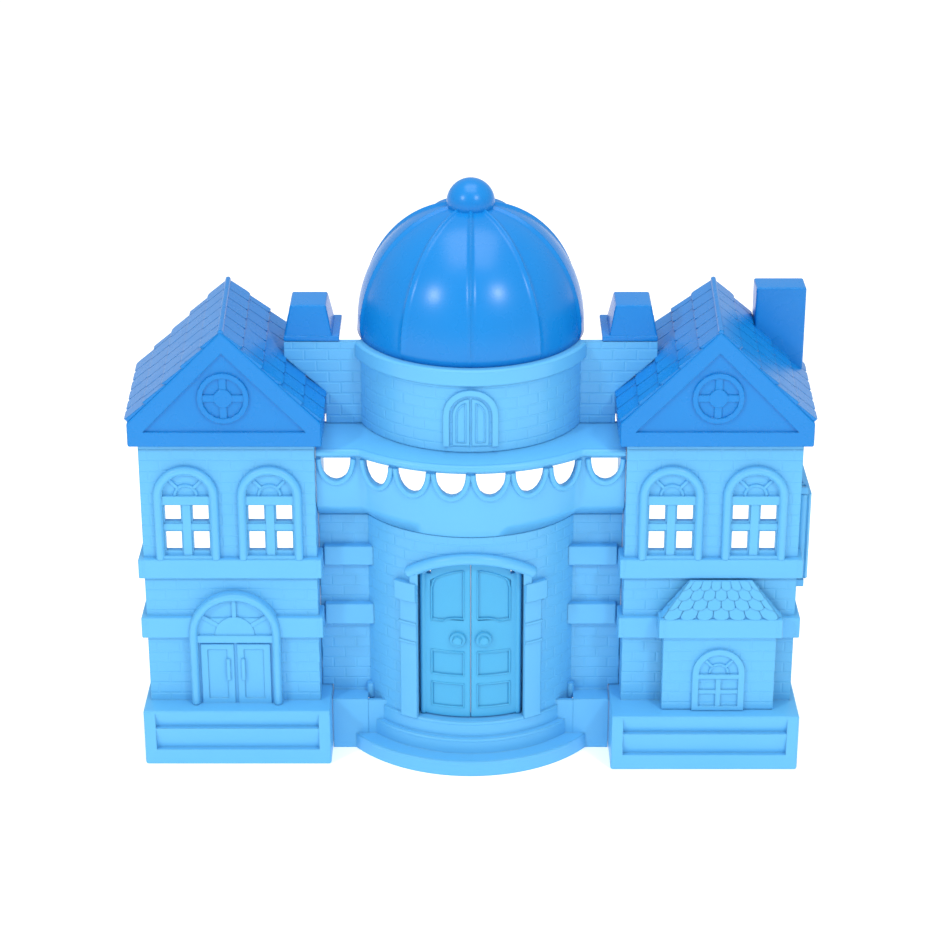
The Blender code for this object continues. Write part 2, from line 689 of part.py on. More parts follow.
def hinge_lug(sign):
    """The block behind the doorway's head that holds the door's upper stub."""
    low, high = sorted((sign * (HINGE_ANGLE - 2.6), sign * (HINGE_ANGLE + 5.0)))
    return band(HINGE_R - 0.0030, TOWER_R - 0.001, *LUG_Z, low, high, 3)


def jamb_stop(sign):
    """The angled strip behind the door's outer edge that the closed leaf rests against."""
    corners = [
        (HINGE_R - 0.0037, HINGE_ANGLE - 2.3),
        (HINGE_R - 0.0037, HINGE_ANGLE + 6.1),
        (TOWER_R - 0.0013, HINGE_ANGLE + 6.1),
        (TOWER_R - 0.0013, HINGE_ANGLE + 3.7),
        (HINGE_R - 0.0025, HINGE_ANGLE + 3.7),
        (HINGE_R - 0.0025, HINGE_ANGLE - 2.3),
    ]
    plan = []
    for radius, degrees in corners:
        angle = math.radians(degrees)
        plan.append((sign * radius * math.sin(angle), AXIS_Y - radius * math.cos(angle)))
    low, high = SILL_Z - 0.0013, LUG_Z[0] + 0.0013
    return loft([(x, y, low) for x, y in plan], [(x, y, high) for x, y in plan])


def centre_shell():
    reach = 57.4
    body = turned(steps_profile(), -reach, reach, 28)
    add(body, link_walls(-1), link_walls(1))
    add(body, surround())
    opening = prism(door_opening(DOOR_HALF_X, SILL_Z + 0.00005, DOOR_SPRING_Z, DOOR_CROWN_Z), -0.06, -0.012)
    cut(body, opening)
    add(body, jamb_stop(-1), jamb_stop(1), hinge_lug(-1), hinge_lug(1))
    for sign in (-1, 1):
        for z in (SILL_Z - STUB_LENGTH - 0.0004, LUG_Z[0] - 0.001):
            foot = (sign * LEAF_HALF_X, HINGE_Y, z)
            cut(body, cylinder(foot, (0, 0, 1), STUB_R + 0.0003, STUB_LENGTH + 0.0014, 12))
        x, y = sign * BALCONY_SCREW[0], BALCONY_SCREW[1]
        ear_y = (LINK_Y + 0.001, y + EAR_HALF)
        ear_x = (BALCONY_SCREW[0] - EAR_HALF, BALCONY_SCREW[0] + EAR_HALF)
        ear = mirrored_box(sign, ear_x, ear_y, (TOWER_TOP_Z - EAR, TOWER_TOP_Z))
        add(body, ear)
        cut(body, ear_hole((x, y, TOWER_TOP_Z), (0, 0, -1)))
    return node(body, "centre_shell", "light")


# ---------------------------------------------------------------- balcony


def balcony_arc():
    """Radius and centre depth of the balcony's arc in plan."""
    rise = BALCONY_SIDE_Y - BALCONY_FRONT_Y
    radius = (BALCONY_HALF_X**2 + rise**2) / (2 * rise)
    return radius, BALCONY_FRONT_Y + radius


def balcony_path(inset, steps=20):
    """The balcony's plan: a straight bay, a shallow arc and a straight bay, moved in by inset."""
    radius, centre_y = balcony_arc()
    sweep = math.asin(BALCONY_HALF_X / radius)
    end_x = WING_INNER_X - GAP
    points = [(-end_x, BALCONY_SIDE_Y + inset)]
    for step in range(steps + 1):
        angle = -sweep + 2 * sweep * step / steps
        points.append(((radius - inset) * math.sin(angle), centre_y - (radius - inset) * math.cos(angle)))
    points.append((end_x, BALCONY_SIDE_Y + inset))
    return points


def tower_path(radius, link_y, steps=20):
    """The wall line that the balcony grows out of: straight, round the tower and straight."""
    half = math.sqrt(radius**2 - (AXIS_Y - link_y) ** 2)
    sweep = math.degrees(math.asin(half / radius))
    end_x = WING_INNER_X - GAP
    points = [(-end_x, link_y)]
    for step in range(steps + 1):
        angle = math.radians(-sweep + 2 * sweep * step / steps)
        points.append((radius * math.sin(angle), AXIS_Y - radius * math.cos(angle)))
    points.append((end_x, link_y))
    return points


def section_sweep(rows):
    """A closed solid from rows of points: each row is one line of the section along the plan."""
    bm = bmesh.new()
    grid = [[bm.verts.new(p) for p in row] for row in rows]
    count = len(rows[0])
    for i, j in edge_pairs(len(rows)):
        for k in range(count - 1):
            bm.faces.new((grid[i][k], grid[i][k + 1], grid[j][k + 1], grid[j][k]))
    bm.faces.new([row[0] for row in grid])
    bm.faces.new([row[-1] for row in reversed(grid)])
    return solid("sweep", bm)


def level(points, z):
    return [(x, y, z) for x, y in points]


def balcony():
    """The hollow band with half-round openings, its sloping floor and its underside."""
    low, high = BALCONY_FACE_Z
    foot_z = TOWER_TOP_Z + GAP
    outer = balcony_path(0.0)
    inner = balcony_path(SIDE_WALL)
    foot = tower_path(TOWER_R, LINK_Y)
    foot_inner = tower_path(TOWER_R - TOWER_WALL, LINK_Y + WALL)
    head = tower_path(DRUM_R, UPPER_LINK_Y)
    head_inner = tower_path(DRUM_R - TOWER_WALL, UPPER_LINK_Y + WALL)
    top = DRUM_FLOOR_Z - GAP
    rows = [
        level(foot_inner, foot_z),
        level(foot, foot_z),
        level(outer, low),
        level(outer, high),
        level(head, top),
        level(head_inner, top),
        level(head_inner, top - SIDE_WALL),
        level(inner, high - SIDE_WALL),
        level(inner, low + 0.0012),
        level(foot_inner, foot_z + SIDE_WALL * 1.3),
    ]
    body = section_sweep(rows)
    radius, centre_y = balcony_arc()
    for sign in (-1, 1):
        for degrees in BALCONY_ARC_ANGLES:
            cut(body, half_moon((0, centre_y), radius, sign * degrees))
        cut(body, half_moon((sign * BALCONY_BAY_X, BALCONY_SIDE_Y + radius), radius, 0.0))
    for sign in (-1, 1):
        x, y = sign * BALCONY_SCREW[0], BALCONY_SCREW[1]
        outer_boss, bore = boss((x, y, foot_z), (0, 0, 1), 0.0120)
        web_x = (BALCONY_SCREW[0] - 0.003, BALCONY_SCREW[0] + 0.003)
        web = mirrored_box(sign, web_x, (LINK_Y + 0.001, y), (foot_z, foot_z + 0.003))
        add(body, outer_boss, web)
        cut(body, bore)
    return node(body, "balcony", "light")


def half_moon(centre, radius, degrees):
    """A cutter for one opening, flat on top and round below, that points straight out of the band."""
    points = []
    for step in range(11):
        angle = math.pi + math.pi * step / 10
        points.append((BALCONY_HOLE_R * math.cos(angle), BALCONY_HOLE_Z + BALCONY_HOLE_DEPTH * math.sin(angle)))
    moon = prism(points, -radius - 0.008, -radius + 0.008)
    turn = Matrix.Rotation(math.radians(degrees), 4, "Z")
    moon.data.transform(Matrix.Translation((centre[0], centre[1], 0)) @ turn)
    return moon


# ---------------------------------------------------------------- upper drum and walls


def roof_slope_z(x, y):
    """Height of a gable roof's inner slope at a distance x from the castle's middle and depth y."""
    share = (y - GABLE_FRONT_Y) / (BACK_Y - GABLE_FRONT_Y)
    eave = FASCIA_Z[1] + EAVE_BACK_LIFT * share
    ridge_x = WING_MID_X + EAVE_BACK_OUT * share
    return eave + (RIDGE_Z - eave) * (x - EAVE_INNER_X) / (ridge_x - EAVE_INNER_X)


def upper_wall(side):
    """The straight wall above the balcony, cut to clear the gable roof's slope."""
    x0, x1 = 0.0480, UPPER_LINK_X
    clear = 0.0016
    y1 = UPPER_LINK_Y + WALL
    foot_x = EAVE_INNER_X - 2 * GAP
    outline = [
        (x0, DRUM_FLOOR_Z),
        (foot_x, DRUM_FLOOR_Z),
        (foot_x, roof_slope_z(EAVE_INNER_X, y1) + clear),
        (x1, roof_slope_z(x1, y1) + clear),
        (x1, RIM_Z[1]),
        (x0, RIM_Z[1]),
    ]
    points = [(side * x, z) for x, z in outline]
    return prism(points, UPPER_LINK_Y, y1)


def upper_drum():
    reach = 70.5
    inner = DRUM_R - TOWER_WALL
    profile = [
        (inner, DRUM_FLOOR_Z),
        (DRUM_R, DRUM_FLOOR_Z),
        (DRUM_R, RIM_Z[0] - 0.0012),
        (RIM_R, RIM_Z[0]),
        (RIM_R, RIM_Z[1] - 0.0010),
        (RIM_R - 0.0010, RIM_Z[1]),
        (inner, RIM_Z[1]),
    ]
    body = turned(profile, -reach, reach, 36)
    add(body, upper_wall(-1), upper_wall(1))
    drum_window(body)
    for sign in (-1, 1):
        for x, y in (DECK_SCREW, DOME_SCREW):
            ear_y = (UPPER_LINK_Y + 0.001, y + EAR_HALF)
            ear_x = (x - EAR_HALF, x + EAR_HALF + 0.0040)
            add(body, mirrored_box(sign, ear_x, ear_y, (RIM_Z[1] - EAR - 0.003, RIM_Z[1] - 0.003)))
            cut(body, ear_hole((sign * x, y, RIM_Z[1] - 0.003), (0, 0, -1)))
    return node(body, "upper_drum", "light")


def drum_window(body):
    """The small closed casement on the drum."""
    half, spring, low = 0.0133, 0.1892, DRUM_FLOOR_Z + 0.0030
    ring = drum_patch(DRUM_R - 0.001, DRUM_R + 0.0016, low, arch(0, half, low - 0.001, spring))
    inner = half - 0.0030
    cut(ring, drum_patch(DRUM_R + 0.0005, DRUM_R + 0.004, low - 0.001, arch(0, inner, low - 0.002, spring)))
    for sign in (-1, 1):
        leaf = half_arch(sign, 0.0006, inner - 0.0016, low + 0.0007, spring)
        add(ring, drum_patch(DRUM_R - 0.0004, DRUM_R + 0.0011, low - 0.0013, leaf))
    return add(body, ring)


def half_arch(sign, seam, half, bottom, spring, steps=6):
    """The outline of one of a pair of leaves under a round head, in (x, z)."""
    points = [(sign * seam, bottom), (sign * half, bottom)]
    last = math.acos(seam / half)
    for step in range(steps + 1):
        angle = last * step / steps
        points.append((sign * half * math.cos(angle), spring + half * math.sin(angle)))
    return points


def drum_patch(r0, r1, low, outline):
    """A piece of a curved layer of the drum with an (x, z) outline."""
    return keep(band(r0, r1, low, 0.2040, -19, 19, 9), prism(outline, -0.06, 0))


# ---------------------------------------------------------------- roofs

DECK_SCREW = (0.0790, 0.0180)
DOME_SCREW = (0.0440, 0.0180)
CHIMNEY_X = (0.1412, 0.1660)
CHIMNEY_Y = (0.0320, BACK_Y - 0.0005)
CHIMNEY_TOP_Z = 0.2305


def gable_section(side, y, inset=0.0, drop=0.0):
    """The five-point gable outline at depth y, shrunk by inset, with its foot lowered by drop."""
    share = (y - GABLE_FRONT_Y) / (BACK_Y - GABLE_FRONT_Y)
    out = EAVE_BACK_OUT * share
    lift = EAVE_BACK_LIFT * share
    slope_inset = inset * 1.42
    points = [
        (EAVE_INNER_X + inset, FASCIA_Z[0] - drop),
        (EAVE_OUTER_X + out - inset, FASCIA_Z[0] - drop),
        (EAVE_OUTER_X + out - inset, FASCIA_Z[1] - slope_inset + inset),
        (WING_MID_X + out, RIDGE_Z - slope_inset),
        (EAVE_INNER_X + inset, FASCIA_Z[1] + lift - slope_inset + inset),
    ]
    return [(side * x, y, z) for x, z in points]


def gable_roof(side, name):
    body = loft(gable_section(side, GABLE_FRONT_Y), gable_section(side, BACK_Y), 0.0010)
    if side > 0:
        add(body, chimney_block(0.0))
    gable_relief(body, side)
    room = loft(
        gable_section(side, GABLE_FRONT_Y + ROOF_WALL, ROOF_WALL, 0.01),
        gable_section(side, BACK_Y + 0.01, ROOF_WALL, 0.01),
    )
    cut(body, room)
    if side > 0:
        cut(body, chimney_block(ROOF_WALL))
    for x in ROOF_SCREW_X:
        outer, bore = boss((side * x, ROOF_SCREW_Y, EAR_TOP_Z + GAP), (0, 0, 1), 0.0400)
        under = ROOF_WALL / 2
        roof_space = loft(
            gable_section(side, GABLE_FRONT_Y, under, 0.03),
            gable_section(side, BACK_Y, under, 0.03),
        )
        add(body, keep(outer, roof_space))
        cut(body, bore)
    return node(body, name, "dark")


def chimney_block(inset):
    """The chimney stack on the right roof, or its hollow."""
    low_z = 0.1800 if inset == 0.0 else 0.1600
    low = (CHIMNEY_X[0] + inset, CHIMNEY_Y[0] + inset, low_z)
    back = CHIMNEY_Y[1] if inset == 0.0 else BACK_Y + 0.01
    high = (CHIMNEY_X[1] - inset, back, CHIMNEY_TOP_Z - inset)
    if inset:
        high = (min(high[0], EAVE_OUTER_X - ROOF_WALL), back, CHIMNEY_TOP_Z - inset)
    return box(low, high, 0.0010 if inset == 0.0 else 0.0)


def gable_relief(body, side):
    """The sunk triangle of the gable with its round rose window."""
    depth = 0.0011
    front = GABLE_FRONT_Y
    mid = side * WING_MID_X
    triangle = [(mid - 0.0392, 0.1788), (mid + 0.0392, 0.1788), (mid, 0.2192)]
    cut(body, prism(triangle, front - 0.002, front + depth))
    centre_z = 0.1962
    disc = [(mid + 0.0125 * math.cos(a), centre_z + 0.0130 * math.sin(a)) for a in circle_angles(20)]
    rose = prism(disc, front - 0.0001, front + depth + 0.001)
    hole = [(mid + 0.0100 * math.cos(a), centre_z + 0.0104 * math.sin(a)) for a in circle_angles(16)]
    cut(rose, prism(hole, front - 0.002, front + depth - 0.0002))
    hub = [(mid + 0.0046 * math.cos(a), centre_z + 0.0048 * math.sin(a)) for a in circle_angles(12)]
    add(rose, prism(hub, front + 0.0001, front + depth + 0.0008))
    arm = 0.0018
    long_x, long_z = 0.0108, 0.0112
    for half_x, half_z, lift in ((long_x, arm, 0.0002), (arm, long_z, 0.0003)):
        low = (mid - half_x, front + lift, centre_z - half_z)
        add(rose, box(low, (mid + half_x, front + depth + 0.0009 - lift, centre_z + half_z)))
    add(body, rose)


def circle_angles(count):
    return [2 * math.pi * i / count for i in range(count)]


def roof_deck(side, name):
    """The flat strip of roof beside the dome with its raised block."""
    z0 = RIM_Z[1] + GAP
    x = (0.0640, UPPER_LINK_X)
    y = (UPPER_LINK_Y - 0.0004, DECK_BACK_Y)
    body = mirrored_box(side, x, y, (z0, z0 + 0.0026), 0.0005)
    rise = deck_block(side, 0.0, z0 + 0.0013)
    add(body, rise)
    cut(body, deck_block(side, ROOF_WALL, z0 - 0.0010))
    seat = (side * DECK_SCREW[0], DECK_SCREW[1], RIM_Z[1] - 0.003 + GAP)
    outer, bore = boss(seat, (0, 0, 1), 0.0185)
    add(body, outer)
    cut(body, bore)
    return node(body, name, "dark")


def deck_block(side, inset, low_z):
    top_z = 0.2308 - inset
    foot = rectangle(side, (0.0672, 0.0908), (0.0042, 0.0325), inset, low_z)
    head = rectangle(side, (0.0703, 0.0877), (0.0060, 0.0265), inset, top_z)
    return loft(foot, head, 0.0010 if inset == 0.0 else 0.0)


def rectangle(side, x, y, inset, z):
    """Four corners of a level rectangle, drawn in by inset, on either side of the castle."""
    (x0, x1), (y0, y1) = x, y
    corners = [(x0 + inset, y0 + inset), (x1 - inset, y0 + inset), (x1 - inset, y1 - inset), (x0 + inset, y1 - inset)]
    return [(side * px, py, z) for px, py in corners]


def dome_profile(radius, rise, low_z, steps=9):
    """The (radius, z) quarter outline of the dome, from its foot to its crown."""
    points = [(radius, low_z), (radius, DOME_BASE_Z)]
    for step in range(1, steps + 1):
        angle = math.pi / 2 * step / steps
        points.append((radius * math.cos(angle), DOME_BASE_Z + rise * math.sin(angle)))
    return points


def dome_solid(radius, rise, low_z, segments):
    """A closed solid of revolution about the tower's axis."""
    bm = bmesh.new()
    outline = dome_profile(radius, rise, low_z)[:-1]
    rings = []
    for r, z in outline:
        ring = []
        for i in range(segments):
            angle = 2 * math.pi * (i + 0.5) / segments
            ring.append(bm.verts.new((r * math.sin(angle), AXIS_Y - r * math.cos(angle), z)))
        rings.append(ring)
    top = bm.verts.new((0, AXIS_Y, DOME_BASE_Z + rise))
    bm.faces.new(rings[0])
    for one, two in zip(rings, rings[1:]):
        for i, j in edge_pairs(segments):
            bm.faces.new((one[i], one[j], two[j], two[i]))
    for i, j in edge_pairs(segments):
        bm.faces.new((rings[-1][i], rings[-1][j], top))
    return solid("dome", bm)


def dome_rib(degrees):
    """One raised seam of the dome, from the foot to under the finial."""
    half_width = 0.0016
    proud = 0.0010
    angle = math.radians(degrees)
    out = Vector((math.sin(angle), -math.cos(angle), 0))
    across = Vector((out.y, -out.x, 0)) * half_width
    outer = dome_profile(DOME_R + proud, DOME_RISE + proud, DOME_BASE_Z - 0.0005)[:-1]
    inner = dome_profile(DOME_R - 0.0010, DOME_RISE - 0.0010, DOME_BASE_Z - 0.0005)[:-1]
    section = outer + list(reversed(inner))
    centre = Vector((0, AXIS_Y, 0))
    sides = []
    for sign in (-1, 1):
        sides.append([centre + out * r + across * sign + Vector((0, 0, z)) for r, z in section])
    return loft(sides[0], sides[1])


def dome():
    """The ribbed dome with its foot ring and ball finial, open at the back."""
    foot_z = RIM_Z[1] + GAP
    body = dome_solid(DOME_R, DOME_RISE, foot_z, 40)
    for index in range(-2, 3):
        add(body, dome_rib(index * 360 / RIBS))
    ring = band(DOME_R - 0.001, DOME_R + 0.0016, foot_z, foot_z + 0.0030, -112, 112, 30)
    add(body, ring)
    cut(body, dome_solid(DOME_R - DOME_SKIN, DOME_RISE - DOME_SKIN, foot_z - 0.01, 30))
    ball = bmesh.new()
    place = Matrix.Translation((0, AXIS_Y, FINIAL_Z))
    bmesh.ops.create_uvsphere(ball, u_segments=16, v_segments=10, radius=FINIAL_R, matrix=place)
    add(body, solid("ball", ball))
    for sign in (-1, 1):
        x, y = sign * DOME_SCREW[0], DOME_SCREW[1]
        outer, bore = boss((x, y, RIM_Z[1] - 0.003 + GAP), (0, 0, 1), 0.0450)
        keep(outer, dome_solid(DOME_R - 0.0010, DOME_RISE - 0.0010, foot_z - 0.02, 30))
        add(body, outer)
        cut(body, bore)
    cut(body, box((-1, BACK_Y, -1), (1, BACK_Y + 1, 1)))
    return node(body, "dome", "dark")


# ---------------------------------------------------------------- doors


def door_leaf(sign, name):
    """One curved leaf with sunk panels, a round knob and a hinge stub at each end."""
    inner_edge = 0.0003
    edge_angle = math.degrees(math.asin(inner_edge / LEAF_R[1]))
    low, high = sorted((sign * edge_angle, sign * HINGE_ANGLE))
    body = band(*LEAF_R, *LEAF_Z, low, high, 8)
    outline = door_opening(LEAF_HALF_X + 0.0016, LEAF_Z[0] - 0.01, LEAF_SPRING_Z, LEAF_Z[1])
    keep(body, prism(outline, -0.06, 0.01))
    hinge_top = LUG_Z[0] - 0.0006
    knuckle = cylinder((sign * LEAF_HALF_X, HINGE_Y, LEAF_Z[0]), (0, 0, 1), 0.0015, hinge_top - LEAF_Z[0])
    shoulder_x = sorted((sign * (LEAF_HALF_X - 0.0040), sign * (LEAF_HALF_X + 0.004)))
    cut(body, box((shoulder_x[0], -0.05, hinge_top), (shoulder_x[1], 0.0, 0.13)))
    add(body, knuckle)
    stub_low = (sign * LEAF_HALF_X, HINGE_Y, SILL_Z - STUB_LENGTH)
    add(body, cylinder(stub_low, (0, 0, 1), STUB_R, STUB_LENGTH + 0.004, 12))
    stub_high = (sign * LEAF_HALF_X, HINGE_Y, hinge_top - 0.004)
    add(body, cylinder(stub_high, (0, 0, 1), STUB_R, STUB_LENGTH + 0.004, 12))
    for cutter in leaf_panels(sign):
        cut(body, cutter)
    knob_angle = math.radians(sign * 6.4)
    out = Vector((math.sin(knob_angle), -math.cos(knob_angle), 0))
    base = Vector((0, AXIS_Y, 0.0690)) + out * (LEAF_R[1] - 0.0010)
    add(body, cylinder(base, out, 0.0044, 0.0026, 16, 0.0040))
    add(body, cylinder(base, out, 0.0032, 0.0040, 16, 0.0022))
    return node(body, name, "door", (sign * LEAF_HALF_X, HINGE_Y, LEAF_Z[0]))


def leaf_panels(sign):
    depth_r = (LEAF_R[1] - 0.0007, LEAF_R[1] + 0.002)
    angles = sorted((sign * 3.6, sign * 20.4))
    plain = [band(*depth_r, low, high, *angles, 5) for low, high in ((0.0308, 0.0436), (0.0486, 0.0606))]
    head = band(*depth_r, 0.0792, 0.1100, *angles, 5)
    keep(head, prism(door_opening(LEAF_HALF_X - 0.0022, 0.05, 0.0985, LEAF_Z[1] - 0.0036), -0.06, 0.01))
    return plain + [head]


# ---------------------------------------------------------------- the whole castle


def screws():
    up = (0, 0, 1)
    ear_z = RIM_Z[1] - 0.003 - EAR - GAP
    for side, word in ((-1, "left"), (1, "right")):
        for x, place in zip(ROOF_SCREW_X, ("inner", "outer")):
            screw(f"{word}_roof_screw_{place}", (side * x, ROOF_SCREW_Y, EAR_TOP_Z - EAR - GAP), up)
        for z, place in zip(WALL_SCREW_Z, ("low", "high")):
            seat = (side * (LINK_X[1] - SIDE_WALL - GAP), WALL_SCREW_Y, z)
            screw(f"{word}_wall_screw_{place}", seat, (side, 0, 0))
        x, y = BALCONY_SCREW
        screw(f"{word}_balcony_screw", (side * x, y, TOWER_TOP_Z - EAR - GAP), up)
        for piece, (x, y) in (("deck", DECK_SCREW), ("dome", DOME_SCREW)):
            screw(f"{word}_{piece}_screw", (side * x, y, ear_z), up)


def main():
    clear_scene()
    wing_shell(-1, LEFT_PLINTH_Y, "left_wing_shell")
    wing_shell(1, RIGHT_PLINTH_Y, "right_wing_shell")
    bay_window()
    centre_shell()
    balcony()
    upper_drum()
    gable_roof(-1, "left_gable_roof")
    gable_roof(1, "right_gable_roof")
    roof_deck(-1, "left_roof_deck")
    roof_deck(1, "right_roof_deck")
    dome()
    door_leaf(-1, "left_door")
    door_leaf(1, "right_door")
    side_latch()
    latch_pin()
    screws()


main()
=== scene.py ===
"""Studio scene of the toy castle front: finishes, roof tiles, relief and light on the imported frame."""

import math

import bmesh
import bpy
from mathutils import Matrix, Vector


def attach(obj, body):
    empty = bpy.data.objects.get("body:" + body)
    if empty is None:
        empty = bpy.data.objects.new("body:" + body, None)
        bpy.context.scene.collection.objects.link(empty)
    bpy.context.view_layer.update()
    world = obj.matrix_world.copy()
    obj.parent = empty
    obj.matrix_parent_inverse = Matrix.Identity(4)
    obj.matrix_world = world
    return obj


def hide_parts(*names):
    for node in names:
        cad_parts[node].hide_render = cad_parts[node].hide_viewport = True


# The castle's driving sizes, in metres
AXIS_Y = 0.0246
BACK_Y = 0.048
TOWER_R = 0.0605
DRUM_R = 0.0575
LINK_Y = -0.0080
UPPER_LINK_Y = 0.0040
WING_FRONT_Y = -0.0245
WING_SIDES_X = (0.0756, 0.1610)
WING_MID_X = 0.1184
WINDOW_OFFSET_X = 0.0204
WINDOW_SPRING_Z = 0.1437
WINDOW_LIGHT_R = 0.0115
WINDOW_FRAME_HALF = 0.0137
WINDOW_FRAME_FOOT_Z = 0.1100
WINDOW_BEAD_R = 0.0021
PLINTH_TOP_Z = 0.0306
BAY_X = 0.1233
BAY_FRONT_Y = -0.0346
BAY_SIDES_X = (0.0954, 0.1512)
BAY_EAVE_HALF = 0.0295
BAY_EAVE_Y = -0.0364
BAY_EAVE_Z = 0.0814
BAY_TOP_HALF = 0.0153
BAY_TOP_Y = -0.0291
BAY_TOP_Z = 0.0995
BAY_BACK_Y = -0.0280
BAY_SPRING_Z = 0.0520
BAY_LIGHT_R = 0.0098
GABLE_FRONT_Y = -0.0295
EAVE_INNER_X = 0.0718
EAVE_OUTER_X = 0.1653
EAVE_BACK_OUT = 0.0027
EAVE_BACK_LIFT = 0.0040
EAVE_Z = 0.1833
RIDGE_Z = 0.2300
BALCONY_FRONT_Y = -0.0410
BALCONY_SIDE_Y = -0.0210
BALCONY_HALF_X = 0.0540
BALCONY_TOP_Z = 0.1665
BALCONY_HOLE_Z = 0.1620
BALCONY_ARC_ANGLES = (6.6, 20.0, 33.4)
BALCONY_BAY_X = 0.0656
COLLAR_HALF = 0.0085
COLLAR_DROP = 0.0130
COLLAR_SUNK = 0.0002
COLLAR_PROUD = 0.0003
COLLAR_BEAD_R = 0.0014
# Radius, height and half width of each step's nose
STEPS = ((0.0726, 0.0082, 0.0490), (0.0643, 0.0164, 0.0460), (0.0615, 0.0246, 0.0430))
STEP_BEAD_R = 0.0013
STEP_BEAD_SUNK = 0.0011
DOOR_HALF_X = 0.0260
DOOR_CROWN_Z = 0.1126
DOOR_RISE = 0.0080
ARCH_BEAD_R = 0.0028
ARCH_BEAD_OUT = 0.0026
ARCH_REACH = 1.14
DOOR_FOOT_Z = 0.0253
DOOR_TOP_Z = 0.1104
LEAF_R = 0.0570
PANEL_X = (0.0034, 0.0198)
PANEL_RAIL_Z = 0.0780
PANEL_SPRING_Z = 0.0960
PANEL_TOP_Z = 0.1066
PANEL_HEAD_R = 0.0317
PANEL_RAIL_RISE = 0.0022
RIM_BEAD_R = 0.00055
MEETING_X = 0.00042
MEETING_BEAD_R = 0.00036
PANEL_ROWS = ((0.0306, 0.0438), (0.0484, 0.0618))
LEDGE_FRONT_Y = -0.0275
CASEMENT_PROUD = 0.0013
CASEMENT_INNER_X = 0.0026
CASEMENT_ARCH_R = 0.0068
CASEMENT_FOOT_Z = 0.1755
CASEMENT_SPRING_Z = 0.1892
GARDEN_DOOR_X = -0.1173
GARDEN_HALF = 0.0227
GARDEN_SPRING_Z = 0.0697
GARDEN_BEAD_R = 0.0019
DOME_R = 0.0558
DOME_RISE = 0.0597
DOME_BASE_Z = 0.2168
DOME_FOOT_Z = 0.2130
DOME_SKIN = 0.0025
FINIAL_R = 0.0118
FINIAL_Z = 0.2773
RIBS = 10

# Brick courses of the moulded walls
BRICK_LENGTH = 0.0116
COURSE_HEIGHT = 0.0058
JOINT = 0.0008
BRICK_RELIEF = 0.00015

LIGHT_BLUE = ((0.108, 0.445, 0.785, 1.0), (0.126, 0.475, 0.815, 1.0))
DARK_BLUE = ((0.003, 0.205, 0.610, 1.0), (0.005, 0.230, 0.655, 1.0))
DOOR_BLUE = ((0.058, 0.390, 0.690, 1.0), (0.070, 0.415, 0.720, 1.0))
STEEL = ((0.52, 0.53, 0.55, 1.0), (0.60, 0.61, 0.63, 1.0))


LIGHT_ROUGHNESS = 0.34
DARK_ROUGHNESS = 0.27
DOOR_ROUGHNESS = 0.33
STEEL_ROUGHNESS = 0.32

# The studio: the camera's place and tilt in degrees, and each softbox's name, place, size and power
EYE = (-0.00035, -1.18084, 0.65985)
EYE_TILT = 66.5
LENS = 99.57
SOFTBOXES = (
    ("key_left", (-1.25, -1.25, 1.30), 0.22, 10.0),
    ("key_right", (0.85, -1.25, 1.30), 0.22, 8.0),
    ("top", (0.0, -0.1, 1.7), 1.2, 13.0),
)
CASTLE_MIDDLE = Vector((0, 0, 0.14))
SKY_STRENGTH = 0.58
FLOOR_SIZE = 60.0
FLOOR_GLOW = 0.38


# ---------------------------------------------------------------- shader helpers


class Nodes:
    """Short calls that add and join nodes in one material."""

    def __init__(self, name):
        self.mat = bpy.data.materials.new(name)
        self.mat.use_nodes = True
        self.tree = self.mat.node_tree
        self.shader = self.tree.nodes["Principled BSDF"]

    def add(self, kind, **settings):
        made = self.tree.nodes.new(kind)
        for key, value in settings.items():
            setattr(made, key, value)
        return made

    def join(self, source, target):
        self.tree.links.new(source, target)

    def math(self, operation, first, second=0.0):
        made = self.add("ShaderNodeMath", operation=operation)
        for socket, value in zip(made.inputs, (first, second)):
            if isinstance(value, (int, float)):
                socket.default_value = value
            else:
                self.join(value, socket)
        return made.outputs[0]

    def near(self, value, target, tolerance=0.0005):
        """1 where value is within tolerance of target."""
        gap = self.math("ABSOLUTE", self.math("SUBTRACT", value, target))
        return self.math("LESS_THAN", gap, tolerance)

    def noise(self, scale, detail=3.0):
        coords = self.add("ShaderNodeTexCoord")
        made = self.add("ShaderNodeTexNoise")
        made.inputs["Scale"].default_value = scale
        made.inputs["Detail"].default_value = detail
        self.join(coords.outputs["Object"], made.inputs["Vector"])
        return made.outputs["Fac"]

    def bump(self, height, distance, normal, strength=1.0):
        made = self.add("ShaderNodeBump")
        made.inputs["Strength"].default_value = strength
        made.inputs["Distance"].default_value = distance
        self.join(height, made.inputs["Height"])
        self.join(normal, made.inputs["Normal"])
        return made.outputs["Normal"]


